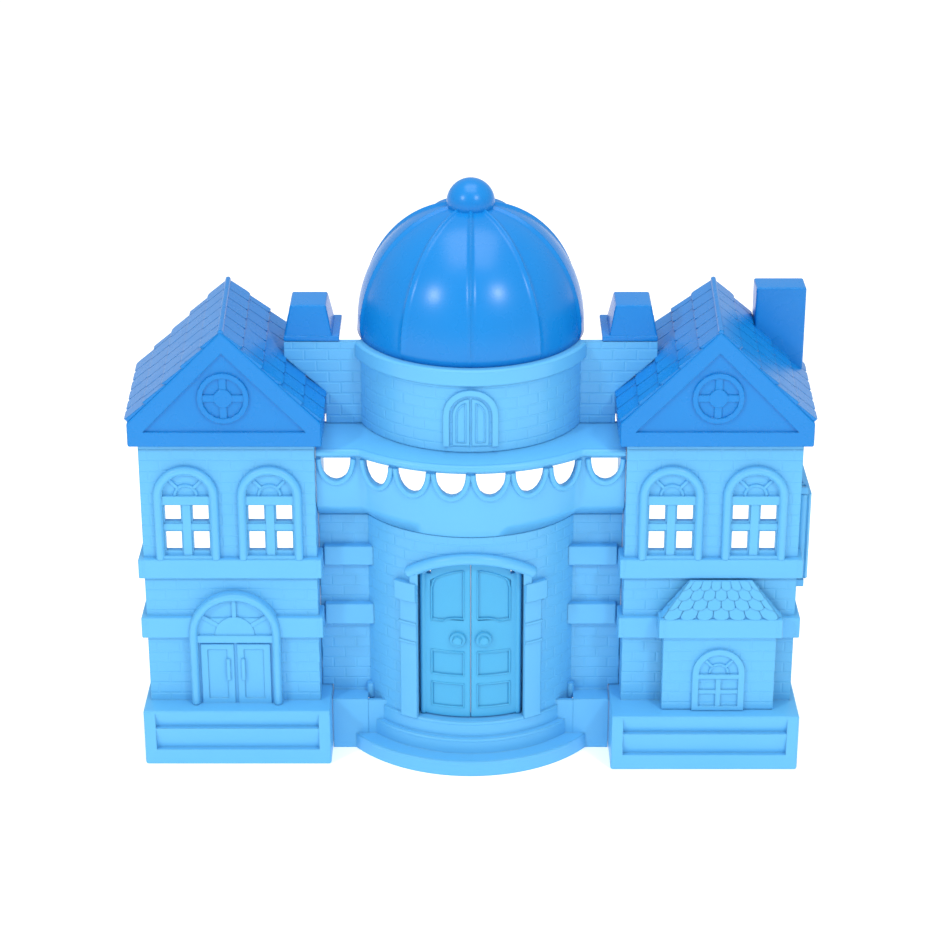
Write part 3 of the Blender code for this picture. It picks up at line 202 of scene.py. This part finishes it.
def moulded(name, colours, roughness, walls=None, metallic=0.0):
    """Moulded plastic or plated steel: slight colour and gloss variation, a fine grain and soft edges.

    walls, if given, is a function that returns (u, v, mask) sockets for brick courses.
    """
    n = Nodes(name)
    tone = n.add("ShaderNodeMix", data_type="RGBA")
    tone.inputs["A"].default_value = colours[0]
    tone.inputs["B"].default_value = colours[1]
    n.join(n.noise(28.0), tone.inputs["Factor"])
    n.join(tone.outputs["Result"], n.shader.inputs["Base Color"])
    gloss = n.add("ShaderNodeMapRange")
    gloss.inputs["To Min"].default_value = roughness - 0.04
    gloss.inputs["To Max"].default_value = roughness + 0.05
    n.join(n.noise(90.0), gloss.inputs["Value"])
    n.join(gloss.outputs["Result"], n.shader.inputs["Roughness"])
    n.shader.inputs["Metallic"].default_value = metallic
    n.shader.inputs["Specular IOR Level"].default_value = 0.35
    edge = n.add("ShaderNodeBevel", samples=4)
    edge.inputs["Radius"].default_value = 0.0009
    normal = n.bump(n.noise(1400.0, 2.0), 0.00002, edge.outputs["Normal"])
    if walls:
        normal = n.bump(brick_height(n, walls), BRICK_RELIEF, normal)
    n.join(normal, n.shader.inputs["Normal"])
    return n.mat


def brick_height(n, walls):
    """Raised bricks with sunk joints, only on the faces the mask picks."""
    u, v, mask = walls(n)
    place = n.add("ShaderNodeCombineXYZ")
    n.join(u, place.inputs["X"])
    n.join(v, place.inputs["Y"])
    bricks = n.add("ShaderNodeTexBrick")
    bricks.inputs["Scale"].default_value = 1.0
    bricks.inputs["Brick Width"].default_value = BRICK_LENGTH
    bricks.inputs["Row Height"].default_value = COURSE_HEIGHT
    bricks.inputs["Mortar Size"].default_value = JOINT
    bricks.inputs["Mortar Smooth"].default_value = 1.0
    n.join(place.outputs["Vector"], bricks.inputs["Vector"])
    return n.math("MULTIPLY", n.math("SUBTRACT", 1.0, bricks.outputs["Fac"]), mask)


def position(n):
    split = n.add("ShaderNodeSeparateXYZ")
    n.join(n.add("ShaderNodeNewGeometry").outputs["Position"], split.inputs["Vector"])
    return split.outputs["X"], split.outputs["Y"], split.outputs["Z"]


def wing_walls(n):
    """Bricks on the front and side walls of a wing, above the plinth."""
    x, y, z = position(n)
    away = n.math("ABSOLUTE", x)
    front = n.near(y, WING_FRONT_Y)
    sides = n.math("MAXIMUM", n.near(away, WING_SIDES_X[0]), n.near(away, WING_SIDES_X[1]))
    above = n.math("GREATER_THAN", z, PLINTH_TOP_Z + 0.0004)
    u = n.math("ADD", n.math("MULTIPLY", x, front), n.math("MULTIPLY", y, n.math("SUBTRACT", 1.0, front)))
    return u, z, n.math("MULTIPLY", n.math("MAXIMUM", front, sides), above)


def bay_walls(n):
    x, y, z = position(n)
    front = n.near(y, BAY_FRONT_Y)
    sides = n.math("MAXIMUM", n.near(x, BAY_SIDES_X[0]), n.near(x, BAY_SIDES_X[1]))
    u = n.math("ADD", n.math("MULTIPLY", x, front), n.math("MULTIPLY", y, n.math("SUBTRACT", 1.0, front)))
    return u, z, n.math("MAXIMUM", front, sides)


def round_walls(radius, straight_y):
    """Bricks that follow a round wall, and its straight neighbours at one depth."""

    def walls(n):
        x, y, z = position(n)
        back = n.math("SUBTRACT", AXIS_Y, y)
        far = n.math("SQRT", n.math("ADD", n.math("MULTIPLY", x, x), n.math("MULTIPLY", back, back)))
        on_round = n.near(far, radius)
        arc = n.math("MULTIPLY", n.math("ARCTAN2", x, back), radius)
        flat = n.near(y, straight_y)
        straight = n.math("MULTIPLY", x, n.math("SUBTRACT", 1.0, on_round))
        u = n.math("ADD", n.math("MULTIPLY", arc, on_round), straight)
        return u, z, n.math("MAXIMUM", on_round, flat)

    return walls


# ---------------------------------------------------------------- mesh helpers


def piece(name, bm, mat, body="castle", smooth=35):
    """Turns a bmesh into a finished piece that rides on a body."""
    bmesh.ops.recalc_face_normals(bm, faces=bm.faces)
    mesh = bpy.data.meshes.new(name)
    bm.to_mesh(mesh)
    bm.free()
    mesh.materials.append(mat)
    mesh.shade_smooth()
    mesh.set_sharp_from_angle(angle=math.radians(smooth))
    obj = bpy.data.objects.new(name, mesh)
    bpy.context.scene.collection.objects.link(obj)
    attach(obj, body)
    return obj


def refined(node, mat, body="castle", smooth=32):
    """A smooth-shaded copy of a CAD node that stands for it."""
    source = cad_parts[node].data
    bm = bmesh.new()
    verts = [bm.verts.new(v.co) for v in source.vertices]
    for face in source.polygons:
        bm.faces.new([verts[i] for i in face.vertices])
    bmesh.ops.remove_doubles(bm, verts=bm.verts, dist=0.000002)
    flat = math.radians(0.2)
    bmesh.ops.dissolve_limit(bm, angle_limit=flat, verts=bm.verts, edges=bm.edges)
    obj = piece(node + "_moulding", bm, mat, body, smooth)
    weighted = obj.modifiers.new("normals", "WEIGHTED_NORMAL")
    weighted.keep_sharp = True
    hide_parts(node)
    return obj


def sweep_tube(bm, points, radius, sides=8, up=Vector((0, 1, 0))):
    """A round bead along points, with closed ends."""
    rings = []
    for i, point in enumerate(points):
        before = points[max(i - 1, 0)]
        after = points[min(i + 1, len(points) - 1)]
        along = (after - before).normalized()
        first = along.cross(up).normalized()
        second = along.cross(first).normalized()
        ring = []
        for k in range(sides):
            angle = 2 * math.pi * k / sides
            offset = (first * math.cos(angle) + second * math.sin(angle)) * radius
            ring.append(bm.verts.new(point + offset))
        rings.append(ring)
    for one, two in zip(rings, rings[1:]):
        for k in range(sides):
            nxt = (k + 1) % sides
            bm.faces.new((one[k], one[nxt], two[nxt], two[k]))
    bm.faces.new(rings[0])
    bm.faces.new(list(reversed(rings[-1])))


def rounded_bar(bm, start, end, width, depth):
    """A bar with rounded edges between two points, its depth along Y."""
    along = end - start
    length = along.length
    middle = (start + end) / 2
    turn = Matrix.Rotation(math.atan2(-along.z, along.x), 4, "Y")
    place = Matrix.Translation(middle) @ turn @ Matrix.Diagonal((length, depth, width, 1))
    made = bmesh.ops.create_cube(bm, size=1.0, matrix=place)
    edges = list({edge for vert in made["verts"] for edge in vert.link_edges})
    bmesh.ops.bevel(bm, geom=edges, offset=0.0003, segments=2, profile=0.5, affect="EDGES")


# ---------------------------------------------------------------- roofs


def tile_outline(round_foot):
    """One tile in its own (across, up) unit square: a rounded or straight foot."""
    if round_foot:
        foot = [(0.5 + 0.48 * math.cos(a), 0.36 - 0.36 * math.sin(a)) for a in half_turn(8)]
    else:
        foot = [(0.02, 0.14), (0.05, 0.05), (0.14, 0.0), (0.86, 0.0), (0.95, 0.05), (0.98, 0.14)]
    return foot + [(0.98, 1.0), (0.02, 1.0)]


def half_turn(steps):
    return [math.pi - math.pi * i / steps for i in range(steps + 1)]


def tiles(bm, corners, rows, columns, lift, round_foot=False, cover=1.12, margin=0.0):
    """Overlapping tiles on a four-cornered slope: low start, low end, high end, high start."""
    low_a, low_b, high_b, high_a = corners
    normal = (low_b - low_a).cross(high_a - low_a).normalized()
    if normal.z < 0:
        normal = -normal

    def on_slope(s, t):
        low = low_a.lerp(low_b, s)
        high = high_a.lerp(high_b, s)
        return low.lerp(high, t)

    outline = tile_outline(round_foot)
    for row in range(rows):
        shift = 0.5 if row % 2 else 0.0
        for column in range(columns + (1 if shift else 0)):
            top, base = [], []
            for across, up in outline:
                s = min(max((column - shift + across) / columns, margin), 1.0 - margin)
                t = min((row + up * cover) / rows, 1.0)
                height = lift * (1.0 - 0.8 * min(up, 1.0))
                spot = on_slope(s, t)
                top.append(bm.verts.new(spot + normal * height))
                base.append(bm.verts.new(spot - normal * 0.0004))
            if (top[0].co - top[-3].co).length < 0.0008:
                for vert in top + base:
                    bm.verts.remove(vert)
                continue
            bm.faces.new(top)
            bm.faces.new(list(reversed(base)))
            for i in range(len(top)):
                j = (i + 1) % len(top)
                bm.faces.new((top[i], base[i], base[j], top[j]))
    bmesh.ops.dissolve_degenerate(bm, dist=0.00002, edges=bm.edges)


def gable_tiles(side, word, mat):
    """Five rows of shingles on both slopes of a gable roof."""
    front, back = GABLE_FRONT_Y + 0.0006, BACK_Y - 0.0004
    ridge_front = Vector((side * WING_MID_X, front, RIDGE_Z - 0.0003))
    ridge_back = Vector((side * (WING_MID_X + EAVE_BACK_OUT), back, RIDGE_Z - 0.0003))
    slopes = {
        "inner": (
            Vector((side * EAVE_INNER_X, front, EAVE_Z + 0.0004)),
            Vector((side * EAVE_INNER_X, back, EAVE_Z + EAVE_BACK_LIFT + 0.0004)),
        ),
        "outer": (
            Vector((side * EAVE_OUTER_X, front, EAVE_Z + 0.0004)),
            Vector((side * (EAVE_OUTER_X + EAVE_BACK_OUT), back, EAVE_Z + 0.0004)),
        ),
    }
    for place, (low_front, low_back) in slopes.items():
        bm = bmesh.new()
        tiles(bm, (low_front, low_back, ridge_back, ridge_front), 5, 6, 0.0016)
        piece(f"{word}_{place}_shingles", bm, mat, smooth=25)
    bm = bmesh.new()
    steps = [i / 6 for i in range(7)]
    sweep_tube(bm, [ridge_front.lerp(ridge_back, s) for s in steps], 0.0014, up=Vector((0, 0, 1)))
    piece(f"{word}_ridge_bead", bm, mat)


def canopy_tiles(mat):
    """Scalloped tiles on the bay's hipped canopy."""
    low = [Vector((BAY_X + s * BAY_EAVE_HALF, BAY_EAVE_Y, BAY_EAVE_Z)) for s in (-1, 1)]
    low_back = [Vector((BAY_X + s * BAY_EAVE_HALF, BAY_BACK_Y, BAY_EAVE_Z)) for s in (-1, 1)]
    high = [Vector((BAY_X + s * BAY_TOP_HALF, BAY_TOP_Y, BAY_TOP_Z)) for s in (-1, 1)]
    high_back = [Vector((BAY_X + s * BAY_TOP_HALF, BAY_BACK_Y, BAY_TOP_Z)) for s in (-1, 1)]
    bm = bmesh.new()
    tiles(bm, (low[0], low[1], high[1], high[0]), 4, 7, 0.0006, True, 1.3)
    for k in (0, 1):
        tiles(bm, (low[k], low_back[k], high_back[k], high[k]), 4, 1, 0.0005, True, 1.3)
    piece("canopy_scales", bm, mat, smooth=25)


def dome_piece(mat):
    """The ribbed dome as one smooth moulding, and its ball."""
    around, up = 320, 56
    bm = bmesh.new()
    rings = []
    profile = [(DOME_R + 0.0003, DOME_FOOT_Z, 0.0)]
    for step in range(up + 1):
        angle = (math.pi / 2 - 0.10) * step / up
        profile.append((DOME_R * math.cos(angle), DOME_BASE_Z + DOME_RISE * math.sin(angle), 1.0))
    for radius, z, ribbed in profile:
        ring = []
        for i in range(around):
            angle = 2 * math.pi * i / around
            nearest = (angle * RIBS / (2 * math.pi) + 0.5) % 1.0 - 0.5
            gap = abs(nearest) * 2 * math.pi / RIBS * radius
            proud = ribbed * 0.0010 * rib_shape(gap)
            lift = proud * (z - DOME_BASE_Z) / DOME_RISE
            out = radius + proud
            ring.append(bm.verts.new((out * math.sin(angle), AXIS_Y - out * math.cos(angle), z + lift)))
        rings.append(ring)
    for one, two in zip(rings, rings[1:]):
        for i in range(around):
            j = (i + 1) % around
            bm.faces.new((one[i], one[j], two[j], two[i]))
    bm.faces.new(list(reversed(rings[-1])))
    geometry = bm.verts[:] + bm.edges[:] + bm.faces[:]
    bmesh.ops.bisect_plane(bm, geom=geometry, plane_co=(0, BACK_Y, 0), plane_no=(0, 1, 0), clear_outer=True)
    obj = piece("dome_moulding", bm, mat, smooth=40)
    skin = obj.modifiers.new("skin", "SOLIDIFY")
    skin.thickness = DOME_SKIN
    skin.offset = -1.0
    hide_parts("dome")
    bm = bmesh.new()
    lathe(bm, finial_profile(), 48)
    piece("ball_finial", bm, mat, smooth=40)


def rib_shape(gap):
    """A rounded seam about 3 mm wide: 1 on its line and 0 away from it."""
    width = 0.0017
    return 0.5 + 0.5 * math.cos(math.pi * gap / width) if gap < width else 0.0


def finial_profile():
    points = [(0.0110, FINIAL_Z - 0.0110), (0.0098, FINIAL_Z - 0.0088)]
    for step in range(1, 22):
        angle = math.radians(-48 + 138 * step / 21)
        points.append((FINIAL_R * math.cos(angle), FINIAL_Z + FINIAL_R * math.sin(angle)))
    return points


def lathe(bm, profile, segments):
    """Turns (radius, z) points about the tower's axis into a closed solid."""
    rings = []
    for radius, z in profile:
        turn = [2 * math.pi * i / segments for i in range(segments)]
        r = max(radius, 0.0001)
        rings.append([bm.verts.new((r * math.sin(a), AXIS_Y - r * math.cos(a), z)) for a in turn])
    for one, two in zip(rings, rings[1:]):
        for i in range(segments):
            j = (i + 1) % segments
            bm.faces.new((one[i], one[j], two[j], two[i]))
    bm.faces.new(rings[0])
    bm.faces.new(list(reversed(rings[-1])))


# ---------------------------------------------------------------- relief


def balcony_spot(x):
    """Point on the balcony's face at x, and its outward direction."""
    if abs(x) > BALCONY_HALF_X:
        return Vector((x, BALCONY_SIDE_Y, 0)), Vector((0, -1, 0))
    radius, centre_y = balcony_arc()
    back = math.sqrt(radius**2 - x**2)
    return Vector((x, centre_y - back, 0)), Vector((x, -back, 0)).normalized()


def balcony_arc():
    rise = BALCONY_SIDE_Y - BALCONY_FRONT_Y
    radius = (BALCONY_HALF_X**2 + rise**2) / (2 * rise)
    return radius, BALCONY_FRONT_Y + radius


def balcony_beads(mat):
    """The rounded rail, and the raised collar under each opening."""
    bm = bmesh.new()
    rail = []
    for step in range(81):
        x = -0.0752 + 0.1504 * step / 80
        spot, out = balcony_spot(x)
        rail.append(spot + out * 0.0002 + Vector((0, 0, BALCONY_TOP_Z - 0.0016)))
    sweep_tube(bm, rail, 0.0019, 10, Vector((0, 0, 1)))
    piece("balcony_rail_bead", bm, mat, smooth=50)
    bm = bmesh.new()
    radius, centre_y = balcony_arc()
    for sign in (-1, 1):
        for degrees in BALCONY_ARC_ANGLES:
            collar(bm, radius, (0, centre_y), sign * degrees)
        collar(bm, 0.0, (sign * BALCONY_BAY_X, BALCONY_SIDE_Y), 0.0)
    piece("balcony_collars", bm, mat, smooth=50)


def collar(bm, radius, centre, degrees):
    """A rounded lip under one half-round opening, on a face at radius from centre."""
    turn = Matrix.Rotation(math.radians(degrees), 4, "Z")
    points = []
    for step in range(17):
        angle = math.pi + math.pi * step / 16
        across = COLLAR_HALF * math.cos(angle)
        bow = radius - math.sqrt(radius**2 - across**2) if radius else 0.0
        flat = turn @ Vector((across, -radius + bow - COLLAR_PROUD, 0))
        z = BALCONY_HOLE_Z - COLLAR_SUNK + COLLAR_DROP * math.sin(angle)
        points.append(Vector((centre[0], centre[1], z)) + flat)
    sweep_tube(bm, points, COLLAR_BEAD_R, 10, turn @ Vector((0, 1, 0.001)))


def arched_bead(bm, centre, half, foot_z, radius):
    """A round moulding up one side of an arch, over it and down the other side."""
    left_x, right_x = centre.x - half, centre.x + half
    middle_z = (foot_z + centre.z) / 2
    points = [Vector((left_x, centre.y, foot_z)), Vector((left_x, centre.y, middle_z))]
    for angle in half_turn(28):
        points.append(centre + Vector((half * math.cos(angle), 0, half * math.sin(angle))))
    points += [Vector((right_x, centre.y, middle_z)), Vector((right_x, centre.y, foot_z))]
    sweep_tube(bm, points, radius, 12)


def sunburst(bm, centre, light_r):
    """The glazing bars of a half-round light: a small arch with two bars out to the frame."""
    hub = 0.46 * light_r
    for degrees in (46, 134):
        way = Vector((math.cos(math.radians(degrees)), 0, math.sin(math.radians(degrees))))
        rounded_bar(bm, centre + way * hub, centre + way * light_r, 0.14 * light_r, 0.0014)
    arc = [centre + Vector((hub * math.cos(a), 0, hub * math.sin(a))) for a in half_turn(14)]
    sweep_tube(bm, arc, 0.08 * light_r)


def window_mouldings(mat):
    """Round frame mouldings and the glazing bars of the round-headed light of each upper window."""
    for word, side in (("left", -1), ("right", 1)):
        bm = bmesh.new()
        for offset in (-WINDOW_OFFSET_X, WINDOW_OFFSET_X):
            mid_x = side * WING_MID_X + offset
            face = Vector((mid_x, WING_FRONT_Y - 0.0012, WINDOW_SPRING_Z))
            arched_bead(bm, face, WINDOW_FRAME_HALF, WINDOW_FRAME_FOOT_Z, WINDOW_BEAD_R)
            centre = Vector((mid_x, WING_FRONT_Y - 0.0002, WINDOW_SPRING_Z))
            sunburst(bm, centre, WINDOW_LIGHT_R)
        if word == "right":
            sunburst(bm, Vector((BAY_X, BAY_FRONT_Y - 0.0008, BAY_SPRING_Z)), BAY_LIGHT_R)
        piece(f"{word}_window_mouldings", bm, mat, smooth=45)


def doorway_mouldings(mat):
    """The round arch over the entrance, and the rounded edge of the garden doorway."""
    bm = bmesh.new()
    radius = (DOOR_HALF_X**2 + DOOR_RISE**2) / (2 * DOOR_RISE)
    sweep = math.asin(DOOR_HALF_X / radius)
    outer = radius + ARCH_BEAD_OUT
    points = []
    for step in range(33):
        angle = ARCH_REACH * sweep * (2 * step / 32 - 1)
        x = outer * math.sin(angle)
        z = DOOR_CROWN_Z - radius + outer * math.cos(angle)
        points.append(Vector((x, tower_face(x) - 0.0012, z)))
    sweep_tube(bm, points, ARCH_BEAD_R, 12)
    garden = Vector((GARDEN_DOOR_X, LEDGE_FRONT_Y - 0.0010, GARDEN_SPRING_Z))
    arched_bead(bm, garden, GARDEN_HALF - 0.0021, PLINTH_TOP_Z + 0.0003, GARDEN_BEAD_R)
    piece("doorway_mouldings", bm, mat, smooth=45)


def on_drum(x, z):
    """A point just proud of the drum casement's leaves: x is measured round the drum."""
    radius = DRUM_R + CASEMENT_PROUD
    return Vector((radius * math.sin(x / radius), AXIS_Y - radius * math.cos(x / radius), z))


def casement_rims(mat):
    """The inner rims of the two small leaves on the drum."""
    bm = bmesh.new()
    for side in (-1, 1):
        start = math.acos(CASEMENT_INNER_X / CASEMENT_ARCH_R)
        rim = [on_drum(side * CASEMENT_INNER_X, z) for z in (CASEMENT_FOOT_Z, CASEMENT_SPRING_Z)]
        for step in range(11):
            angle = start * (1 - step / 10)
            x, rise = CASEMENT_ARCH_R * math.cos(angle), CASEMENT_ARCH_R * math.sin(angle)
            rim.append(on_drum(side * x, CASEMENT_SPRING_Z + rise))
        rim.append(on_drum(side * CASEMENT_ARCH_R, CASEMENT_FOOT_Z))
        rim.append(on_drum(side * CASEMENT_INNER_X, CASEMENT_FOOT_Z))
        sweep_tube(bm, rim, 0.0004)
    piece("casement_rims", bm, mat, smooth=50)


def wall_fillets(mat):
    """Rounded fillets where the tower's foot and the upper walls meet their neighbours."""
    bm = bmesh.new()
    for side in (-1, 1):
        for x, y, low_z, high_z, radius in (
            (0.0508, -0.0098, 0.0250, 0.0330, 0.0020),
            (EAVE_INNER_X - 0.0003, UPPER_LINK_Y + 0.0014, 0.1748, 0.1875, 0.0011),
        ):
            run = [Vector((side * x, y, low_z + (high_z - low_z) * step / 2)) for step in range(3)]
            sweep_tube(bm, run, radius, 10)
    piece("wall_fillets", bm, mat, smooth=50)


def on_leaf(x, z, radius):
    """A point of a door's curved face: x is measured round the curve from the doors' meeting line."""
    angle = x / LEAF_R
    return Vector((radius * math.sin(angle), AXIS_Y - radius * math.cos(angle), z))


def sunk_head(share):
    """Height of the sunk panel's own head, from its outer edge (0) to its inner edge (1)."""
    x = PANEL_X[1] + (PANEL_X[0] - PANEL_X[1]) * share
    return PANEL_TOP_Z - PANEL_HEAD_R + math.sqrt(PANEL_HEAD_R**2 - x**2)


def panel_head(share):
    """Height of the rounder head that the raised rim gives the upper panel."""
    arch = PANEL_SPRING_Z + (PANEL_TOP_Z - PANEL_SPRING_Z) * math.sqrt(1 - (1 - share) ** 2)
    return min(arch, sunk_head(share))


def door_trim(word, side, mat):
    """Raised rims round a door's three panels, the arched head of the upper one and the meeting edge."""
    bm = bmesh.new()
    inner, outer = (side * x for x in PANEL_X)
    face = LEAF_R - 0.0001
    rim = [on_leaf(inner, PANEL_RAIL_Z + PANEL_RAIL_RISE, face), on_leaf(inner, PANEL_SPRING_Z, face)]
    for step in range(15):
        share = 1 - step / 14
        rim.append(on_leaf(outer + (inner - outer) * share, panel_head(share), face))
    rail = ((0.0, 0.0), (0.35, 0.0), (0.50, 0.0016), (0.70, PANEL_RAIL_RISE), (1.0, PANEL_RAIL_RISE))
    for share, rise in rail:
        rim.append(on_leaf(outer + (inner - outer) * share, PANEL_RAIL_Z + rise, face))
    sweep_tube(bm, rim, RIM_BEAD_R)
    for low_z, high_z in PANEL_ROWS:
        for z in (low_z, high_z):
            sweep_tube(bm, [on_leaf(inner + (outer - inner) * k / 6, z, face) for k in range(7)], RIM_BEAD_R)
        for x in (inner, outer):
            sweep_tube(bm, [on_leaf(x, low_z + (high_z - low_z) * k / 2, face) for k in range(3)], RIM_BEAD_R)
    low_z, high_z = DOOR_FOOT_Z + 0.0004, DOOR_TOP_Z - 0.0004
    meeting = [on_leaf(side * MEETING_X, z, LEAF_R - 0.0008) for z in (low_z, (low_z + high_z) / 2, high_z)]
    sweep_tube(bm, meeting, MEETING_BEAD_R)
    spandrel(bm, outer, inner)
    piece(f"{word}_door_trim", bm, mat, f"{word}_door", 45)


def spandrel(bm, outer, inner):
    """The flush corner between the rim's round head and the flatter head of the sunk panel."""
    rings = []
    for step in range(15):
        share = 0.30 * step / 14
        x = outer + (inner - outer) * share
        top = sunk_head(share) + 0.0003
        low = panel_head(share)
        front, back = LEAF_R + 0.0001, LEAF_R - 0.0009
        spots = ((low, front), (top, front), (top, back), (low, back))
        rings.append([bm.verts.new(on_leaf(x, z, radius)) for z, radius in spots])
    for first, second in zip(rings, rings[1:]):
        for k in range(4):
            bm.faces.new((first[k], first[(k + 1) % 4], second[(k + 1) % 4], second[k]))
    bm.faces.new(rings[0])
    bm.faces.new(reversed(rings[-1]))
    bmesh.ops.recalc_face_normals(bm, faces=bm.faces)


def tower_face(x):
    """Depth of the tower wall's face at x."""
    return AXIS_Y - math.sqrt(TOWER_R**2 - x**2)


def step_noses(mat):
    """Rounded noses on the three steps."""
    bm = bmesh.new()
    for radius, z, reach in STEPS:
        points = []
        for step in range(49):
            x = -reach + 2 * reach * step / 48
            y = AXIS_Y - math.sqrt((radius - STEP_BEAD_SUNK) ** 2 - x**2)
            points.append(Vector((x, y, z - STEP_BEAD_SUNK)))
        sweep_tube(bm, points, STEP_BEAD_R, 10, Vector((0, 0, 1)))
    piece("step_noses", bm, mat, smooth=50)


# ---------------------------------------------------------------- studio


def studio():
    bm = bmesh.new()
    bmesh.ops.create_grid(bm, x_segments=1, y_segments=1, size=FLOOR_SIZE)
    mesh = bpy.data.meshes.new("floor")
    bm.to_mesh(mesh)
    bm.free()
    floor = bpy.data.objects.new("floor", mesh)
    bpy.context.scene.collection.objects.link(floor)
    n = Nodes("pale_floor")
    tone = n.add("ShaderNodeMix", data_type="RGBA")
    tone.inputs["A"].default_value = (0.93, 0.93, 0.93, 1.0)
    tone.inputs["B"].default_value = (0.95, 0.95, 0.95, 1.0)
    n.join(n.noise(3.0), tone.inputs["Factor"])
    n.join(tone.outputs["Result"], n.shader.inputs["Base Color"])
    n.shader.inputs["Roughness"].default_value = 0.9
    n.shader.inputs["Emission Color"].default_value = (1.0, 1.0, 1.0, 1.0)
    n.shader.inputs["Emission Strength"].default_value = FLOOR_GLOW
    mesh.materials.append(n.mat)
    world = bpy.data.worlds.new("studio")
    bpy.context.scene.world = world
    world.use_nodes = True
    sky = world.node_tree.nodes["Background"]
    sky.inputs["Color"].default_value = (1.0, 1.0, 1.0, 1.0)
    sky.inputs["Strength"].default_value = SKY_STRENGTH
    for name, place, size, power in SOFTBOXES:
        softbox(name, place, size, power)
    bpy.context.scene.view_settings.view_transform = "Standard"


def softbox(name, place, size, power):
    """A square area light that looks at the castle."""
    data = bpy.data.lights.new(name, "AREA")
    data.size = size
    data.energy = power
    lamp = bpy.data.objects.new(name, data)
    lamp.location = place
    aim = CASTLE_MIDDLE - Vector(place)
    lamp.rotation_euler = aim.to_track_quat("-Z", "Y").to_euler()
    bpy.context.scene.collection.objects.link(lamp)


def camera():
    data = bpy.data.cameras.new("camera")
    data.sensor_width = 36.0
    data.lens = LENS
    data.clip_start = 0.01
    eye = bpy.data.objects.new("camera", data)
    eye.location = EYE
    eye.rotation_euler = (math.radians(EYE_TILT), 0.0, 0.0)
    bpy.context.scene.collection.objects.link(eye)
    bpy.context.scene.camera = eye


def dress_nodes(light, dark, steel):
    """A smooth-shaded moulding with its finish for every CAD node but the dome."""
    wing = moulded("light_plastic_wings", LIGHT_BLUE, LIGHT_ROUGHNESS, wing_walls)
    bay = moulded("light_plastic_bay", LIGHT_BLUE, LIGHT_ROUGHNESS, bay_walls)
    tower = moulded("light_plastic_tower", LIGHT_BLUE, LIGHT_ROUGHNESS, round_walls(TOWER_R, LINK_Y))
    drum = moulded("light_plastic_drum", LIGHT_BLUE, LIGHT_ROUGHNESS, round_walls(DRUM_R, UPPER_LINK_Y))
    doors = moulded("door_plastic", DOOR_BLUE, DOOR_ROUGHNESS)
    for node, mat in (
        ("left_wing_shell", wing),
        ("right_wing_shell", wing),
        ("bay_window", bay),
        ("centre_shell", tower),
        ("upper_drum", drum),
    ):
        refined(node, mat)
    refined("balcony", light, smooth=60)
    refined("side_latch", light, "latch")
    refined("left_door", doors, "left_door")
    refined("right_door", doors, "right_door")
    for node in ("left_gable_roof", "right_gable_roof", "left_roof_deck", "right_roof_deck"):
        refined(node, dark)
    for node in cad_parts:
        if "screw" in node or node == "latch_pin":
            refined(node, steel)


def main():
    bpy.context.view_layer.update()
    camera()
    studio()
    light = moulded("light_plastic", LIGHT_BLUE, LIGHT_ROUGHNESS)
    dark = moulded("dark_plastic", DARK_BLUE, DARK_ROUGHNESS)
    steel = moulded("zinc_plated_steel", STEEL, STEEL_ROUGHNESS, metallic=1.0)
    dress_nodes(light, dark, steel)
    for word, side in (("left", -1), ("right", 1)):
        gable_tiles(side, word, dark)
    canopy_tiles(light)
    dome_piece(dark)
    balcony_beads(light)
    window_mouldings(light)
    doorway_mouldings(light)
    step_noses(light)
    casement_rims(light)
    wall_fillets(light)
    door = moulded("door_trim_plastic", DOOR_BLUE, DOOR_ROUGHNESS)
    door_trim("left", -1, door)
    door_trim("right", 1, door)


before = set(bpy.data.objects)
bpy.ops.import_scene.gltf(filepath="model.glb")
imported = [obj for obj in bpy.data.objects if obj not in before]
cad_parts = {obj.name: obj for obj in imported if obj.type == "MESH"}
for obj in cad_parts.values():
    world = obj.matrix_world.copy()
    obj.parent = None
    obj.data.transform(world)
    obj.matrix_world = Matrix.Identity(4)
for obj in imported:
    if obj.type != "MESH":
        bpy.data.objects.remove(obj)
main()
